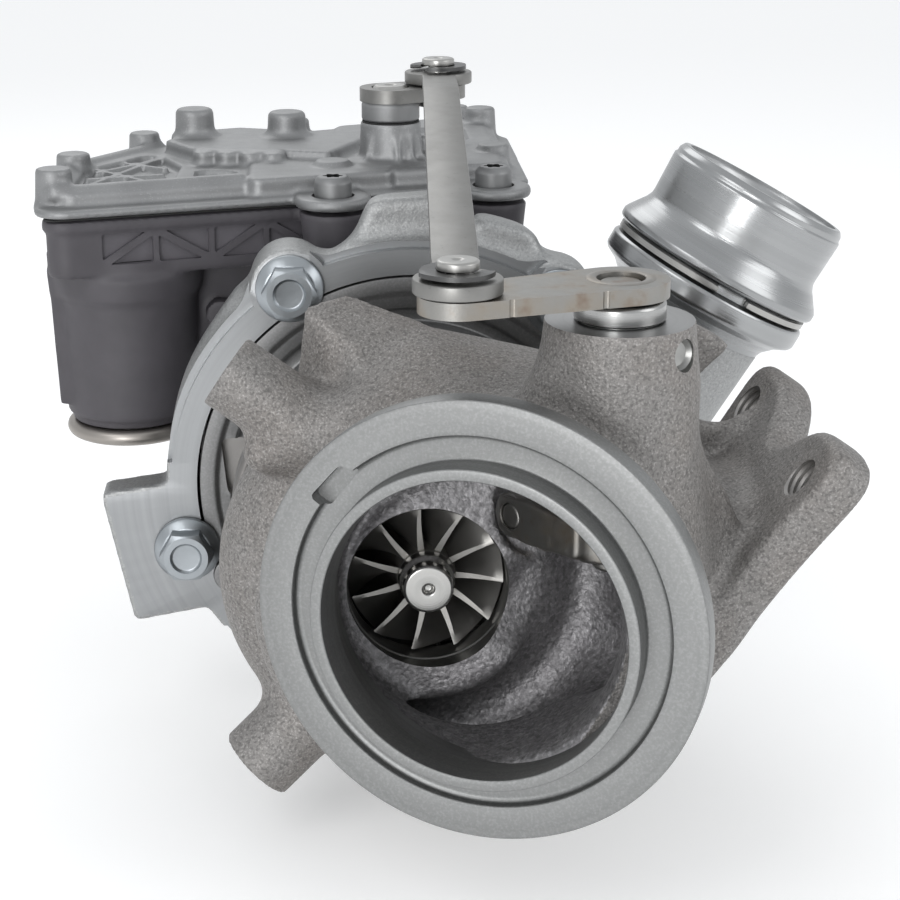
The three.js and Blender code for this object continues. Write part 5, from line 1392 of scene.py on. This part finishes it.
def actuator_cover():
    """The cover, its screw holes, and the seal on its tower."""
    casting = Casting((-82, 67, 54.8), (32.5, 183, 71.6), 0.5)
    lip, ears, deck, rest = cover_shapes()
    casting.add(lip, *ears, fillet=1.5)
    casting.add(deck, *rest, fillet=1.6)
    casting.cut(level([(-72, 81.5), (-51, 87), (-50, 108), (-57, 126), (-71.5, 104)], 58.6, 66, 3, 0.8),
                fillet=1)
    casting.add(*lattice(), fillet=0.8)
    casting.cut(level([(-46, 88.5), (-37, 91), (-37, 101), (-46, 103)], 59.2, 64, 2, 0.6), fillet=0.8)
    casting.cut(level([(2, 131), (18, 134), (18, 154), (-2, 152)], 60.2, 64, 3, 0.6), fillet=1)
    body = casting.skin("actuator_cover", DIE_CAST)
    x, y = HUB[:2]
    room = extruded("room", arc_outline(inset(ACTUATOR, 5.4), 4), 40, 58.2, DIE_CAST, bevel=0)
    base = extruded("base", [(-100, 60), (50, 60), (50, 200), (-100, 200)], 50, RIM_Z + 1, DIE_CAST, bevel=0)
    tools = [room, base, plug("shaft", 4.3, 40, 90, (x, y, 0), Z, DIE_CAST, segments=64),
             plug("seal", 12, 70.1, 76, (x, y, 0), Z, RING_FACE, segments=64)]
    for px, py in POSTS:
        tools.append(plug("screw", 4.7, 50, 80, (px, py, 0), Z, DIE_CAST, segments=48))
    cut(body, *tools)
    finished(body, "housing", "cast_aluminium", "actuator_cover")
    profile = [(4.35, 70.15), (6.5, 70.15), (6.5, 70.45), (5.2, 70.45), (4.35, 70.45)]
    seal = turned("tower_seal", profile, (x, y, 0), Z, RUBBER, soft=0.05, segments=64)
    finished(seal, "housing", "rubber")


def front_wall():
    """The wall that faces the viewer: its start, and the way along it."""
    start, end = (np.array((*p, 0.0)) for p in ACTUATOR[:2])
    return start, (end - start) / np.linalg.norm(end - start)


def truss(start, u):
    """Cutters for the pockets of the front wall: square cells, each with a diagonal web."""
    low, high, web = 44.9, 51.6, 0.75
    first, pitch, width = 13.4, 12.3, 11.1
    made = []
    for k in range(5):
        a = first + pitch * k
        b = a + width
        slope = (high - low) / (b - a)
        rise = web * math.hypot(1, slope)
        if k % 2:
            pair = ([(a, low), (b - rise / slope, low), (a, high - rise)],
                    [(b, high), (a + rise / slope, high), (b, low + rise)])
        else:
            pair = ([(a, high), (a, low + rise), (b - rise / slope, high)],
                    [(b, low), (b, high - rise), (a + rise / slope, low)])
        for shape in pair:
            made.append(extruded("pocket", arc_outline(shape, 0.7, 4), -1.9, 4, POCKET, u, Z, bevel=0,
                                 at=start))
    return made


def actuator_body():
    """The moulded tray with its rim, the motor can, two ears and the truss pockets in its wall."""
    start, u = front_wall()
    x, y = MOTOR[:2]
    casting = Casting((-82, 69, 4), (32, 180, 55.5), 0.6)
    casting.add(level(inset(ACTUATOR, 0.7), FLOOR_Z, RIM_Z, 4.5, 1.0), fillet=1)
    casting.add(level(ACTUATOR, RIM_Z - 2.4, RIM_Z, 5, 0.6), fillet=1)
    casting.add(upright(x, y, 8.4, 46, 14.4, 16.2, edge=0.8), upright(x, y, 6.7, 12, 13.4, edge=0.4),
                fillet=1)
    rib = hull([(x - 16.6, y - 7, 46), (x - 16.6, y + 1, 46), (x - 15.4, y - 7, 11), (x - 15.4, y + 1, 11),
                (x - 10, y - 9, 46), (x - 10, y - 9, 11)], 0.6)
    casting.add(rib, fillet=0.8)
    casting.add(upright(x, y, 36, 41.5, 16.4, 17.2, edge=1), fillet=2)
    connector = hull([(-48, 92, 42), (-31, 94, 42), (-48, 92, 17), (-38, 93, 17), (-48, 104, 42),
                      (-33, 104, 42), (-46, 102, 19)], 1.5)
    casting.add(connector, rod((-41, 92.5, 30), (-41, 88.5, 30), 3.4, edge=0.6), fillet=1)
    casting.add(*[upright(px, py, 44.5, RIM_Z, 6.4, 7.4, edge=0.6) for px, py in POSTS], fillet=2)
    casting.add(upright(*HUB[:2], FLOOR_Z - 3, FLOOR_Z + 3, 7, edge=0.8), fillet=1.5)
    body = casting.skin("actuator_body", PLASTIC)
    cut(body, extruded("inside", arc_outline(inset(ACTUATOR, 2.9), 3), FLOOR_Z + 2.2, 70, PLASTIC, bevel=0),
        turned("can", [(0, 3), (12.3, 3), (14.4, FLOOR_Z + 3), (0, FLOOR_Z + 3)], (x, y, 0), Z, PLASTIC,
               soft=0, segments=96))
    fuse(body, plug("bearing", 7, FLOOR_Z + 1, FLOOR_Z + 2.8, *HUB_AXIS, PLASTIC, soft=0.2, segments=64))
    cutters = [hole(HUB, 4.3, 36, 60, PLASTIC), hole(REAR_POST, 2.5, 38, 50, PLASTIC)]
    cutters += [hole(p, 2.5, 40, 60, PLASTIC) for p in POSTS]
    cutters += truss(start, u)
    cutters.append(extruded("plug", arc_outline([(-25, 45), (-5, 45), (-5, 50), (-25, 50)], 1), -200, -166,
                            PLASTIC, X, Z, bevel=0))
    cut(body, *cutters)
    return finished(body, "housing", "plastic", "actuator_body")


def motor_cap():
    """The can's steel bottom, rolled over the plastic in a rounded lip."""
    x, y = MOTOR[:2]
    profile = [(0, 3.6), (10.6, 3.6), (11.4, 2.9), (13.2, 2.8), (14.4, 3.4), (14.9, 4.5), (14.6, 5.7),
               (13.6, 6.4), (12.2, 6.5), (11.4, 5.1), (0, 5.1)]
    made = turned("motor_cap", profile, (x, y, 0), Z, WARM_RIM, soft=0.6, segments=160)
    return finished(made, "housing", "satin_steel", "motor_cap")


def actuator_screw(number, place):
    """A flanged screw with a six-lobed socket, sunk in its ear. The socket's faces are near black: painted
    shade in the recess.
    """
    x, y = place
    name = f"actuator_screw_{number}"
    base = RIM_Z + 0.3
    profile = [(0, base - 22), (2.1, base - 22), (2.2, base), (4.1, base), (4.1, base + 6.2),
               (3.2, base + 7.4), (0, base + 7.4)]
    made = turned(name, profile, (x, y, 0), Z, ZINC_FLAKE, soft=0.4, segments=64)
    lobes = [(1.9 + 0.35 * math.cos(6 * a), a) for a in np.linspace(0, 2 * math.pi, 60, endpoint=False)]
    # The socket cutter's near-black steel colours the recess: painted shade.
    socket = extruded("socket", [(r * math.cos(a), r * math.sin(a)) for r, a in lobes], base + 4.4,
                      base + 9, DARK_STEEL_AND_SOCKET_SHADE, bevel=0, at=(x, y, 0))
    cut(made, socket)
    return finished(made, "housing", "satin_steel", name)


# ---- the pieces that keep the model's own shape -----------------------------------------------

def coat(material, *nodes):
    """Gives model nodes a material; their shape stays as packed."""
    for name in nodes:
        node = frame["nodes"][name]
        node.data.materials.clear()
        node.data.materials.append(material)


def inner_pieces():
    """Pieces inside the castings, and the third screw, whose own shape is enough."""
    coat(SHIELD, "heat_shield", "motor")
    coat(BRONZE, "bearing_turbine_side", "bearing_compressor_side", "thrust_bearing", "intermediate_gear")
    coat(STEEL, "bearing_spacer", "thrust_collar", "intermediate_axle", "valve_washer", "motor_pinion",
         "output_sector")
    coat(ZINC, "actuator_screw_3")
    coat(RUBBER, "cover_gasket")


# ---- stage: floor, lights and camera ----------------------------------------------------------

def soft_light(name, place, size, power, aim=(0, 30, 10)):
    """A round area light that looks at a point, both in millimetres about the shaft."""
    data = bpy.data.lights.new(name, "AREA")
    data.shape, data.size, data.energy = "DISK", size, power
    lamp = bpy.data.objects.new(name, data)
    bpy.context.scene.collection.objects.link(lamp)
    lamp.location = SHAFT + Vector(place) * MM
    direction = Vector(aim) - Vector(place)
    lamp.rotation_euler = direction.to_track_quat("-Z", "Y").to_euler()


def stage():
    """A white floor, a pale sky and four soft lights."""
    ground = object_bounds()[0].z
    paper = Paint("floor_paper", (0.9, 0.9, 0.9), 0.9, 0, Emission_Color=(1, 1, 1, 1),
                  Emission_Strength=0.2).done()
    profile = [(0, 0), (2500, 0), (2500, -4), (0, -4)]
    floor = turned("floor", profile, (0, 0, 0), Z, paper, soft=0, segments=96)
    floor.data.transform(Matrix.Scale(MM, 4))
    floor.data.transform(Matrix.Translation((SHAFT.x, SHAFT.y, ground)))
    floor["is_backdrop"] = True
    world = bpy.data.worlds.new("studio")
    world.use_nodes = True
    world.node_tree.nodes["Background"].inputs["Color"].default_value = (0.96, 0.98, 1, 1)
    world.node_tree.nodes["Background"].inputs["Strength"].default_value = 0.8
    bpy.context.scene.world = world
    soft_light("key", (-420, -480, 620), 0.5, 1.5)
    soft_light("side", (620, -260, 330), 0.45, 1.0)
    soft_light("outlet", (-260, -700, 120), 0.3, 1.8, aim=(6, -30, 6))
    soft_light("rim", (-150, 620, 560), 0.5, 0.9)


def camera():
    """A long lens, a little left of the shaft and above it, level with the horizon."""
    pitch, yaw = math.radians(18.2), math.radians(4)
    look = Vector((math.sin(yaw) * math.cos(pitch), math.cos(yaw) * math.cos(pitch), -math.sin(pitch)))
    data = bpy.data.cameras.new("camera")
    data.lens, data.sensor_width, data.clip_start = 80, 36, 0.01
    made = bpy.data.objects.new("camera", data)
    bpy.context.scene.collection.objects.link(made)
    made.location = SHAFT + Vector((-20.2, -349.8, 141.5)) * MM
    made.rotation_euler = look.to_track_quat("-Z", "Y").to_euler()
    bpy.context.scene.camera = made
    bpy.context.scene.view_settings.view_transform = "Standard"


# ---- everything in its place ------------------------------------------------------------------

turbine_housing()
wastegate_parts()
wastegate_lever()
turbine_wheel()
compressor_wheel()
shaft_nut()
bearing_housing()
clamp_band()
compressor_backplate()
compressor_housing()
for number, angle in enumerate(BOLT_ANGLES, 1):
    housing_bolt(number, angle)
actuator_body()
actuator_cover()
motor_cap()
for number, place in enumerate(POSTS, 1):
    actuator_screw(number, place)
output_shaft()
output_lever()
link_strap()
headed_pin("lever_pin", PIN_LOW, 58.0, 67.6, 64.9, "wastegate")
retaining_clip("lever_clip", PIN_LOW, 65.05, math.radians(20), "wastegate")
headed_pin("output_pin", PIN_HIGH, PIN_HIGH[2] - 5.2, PIN_HIGH[2] + 5.6, PIN_HIGH[2] + 3, "actuator_output")
retaining_clip("output_clip", PIN_HIGH, PIN_HIGH[2] + 3.2, math.radians(-150), "actuator_output")
inner_pieces()
stage()
camera()
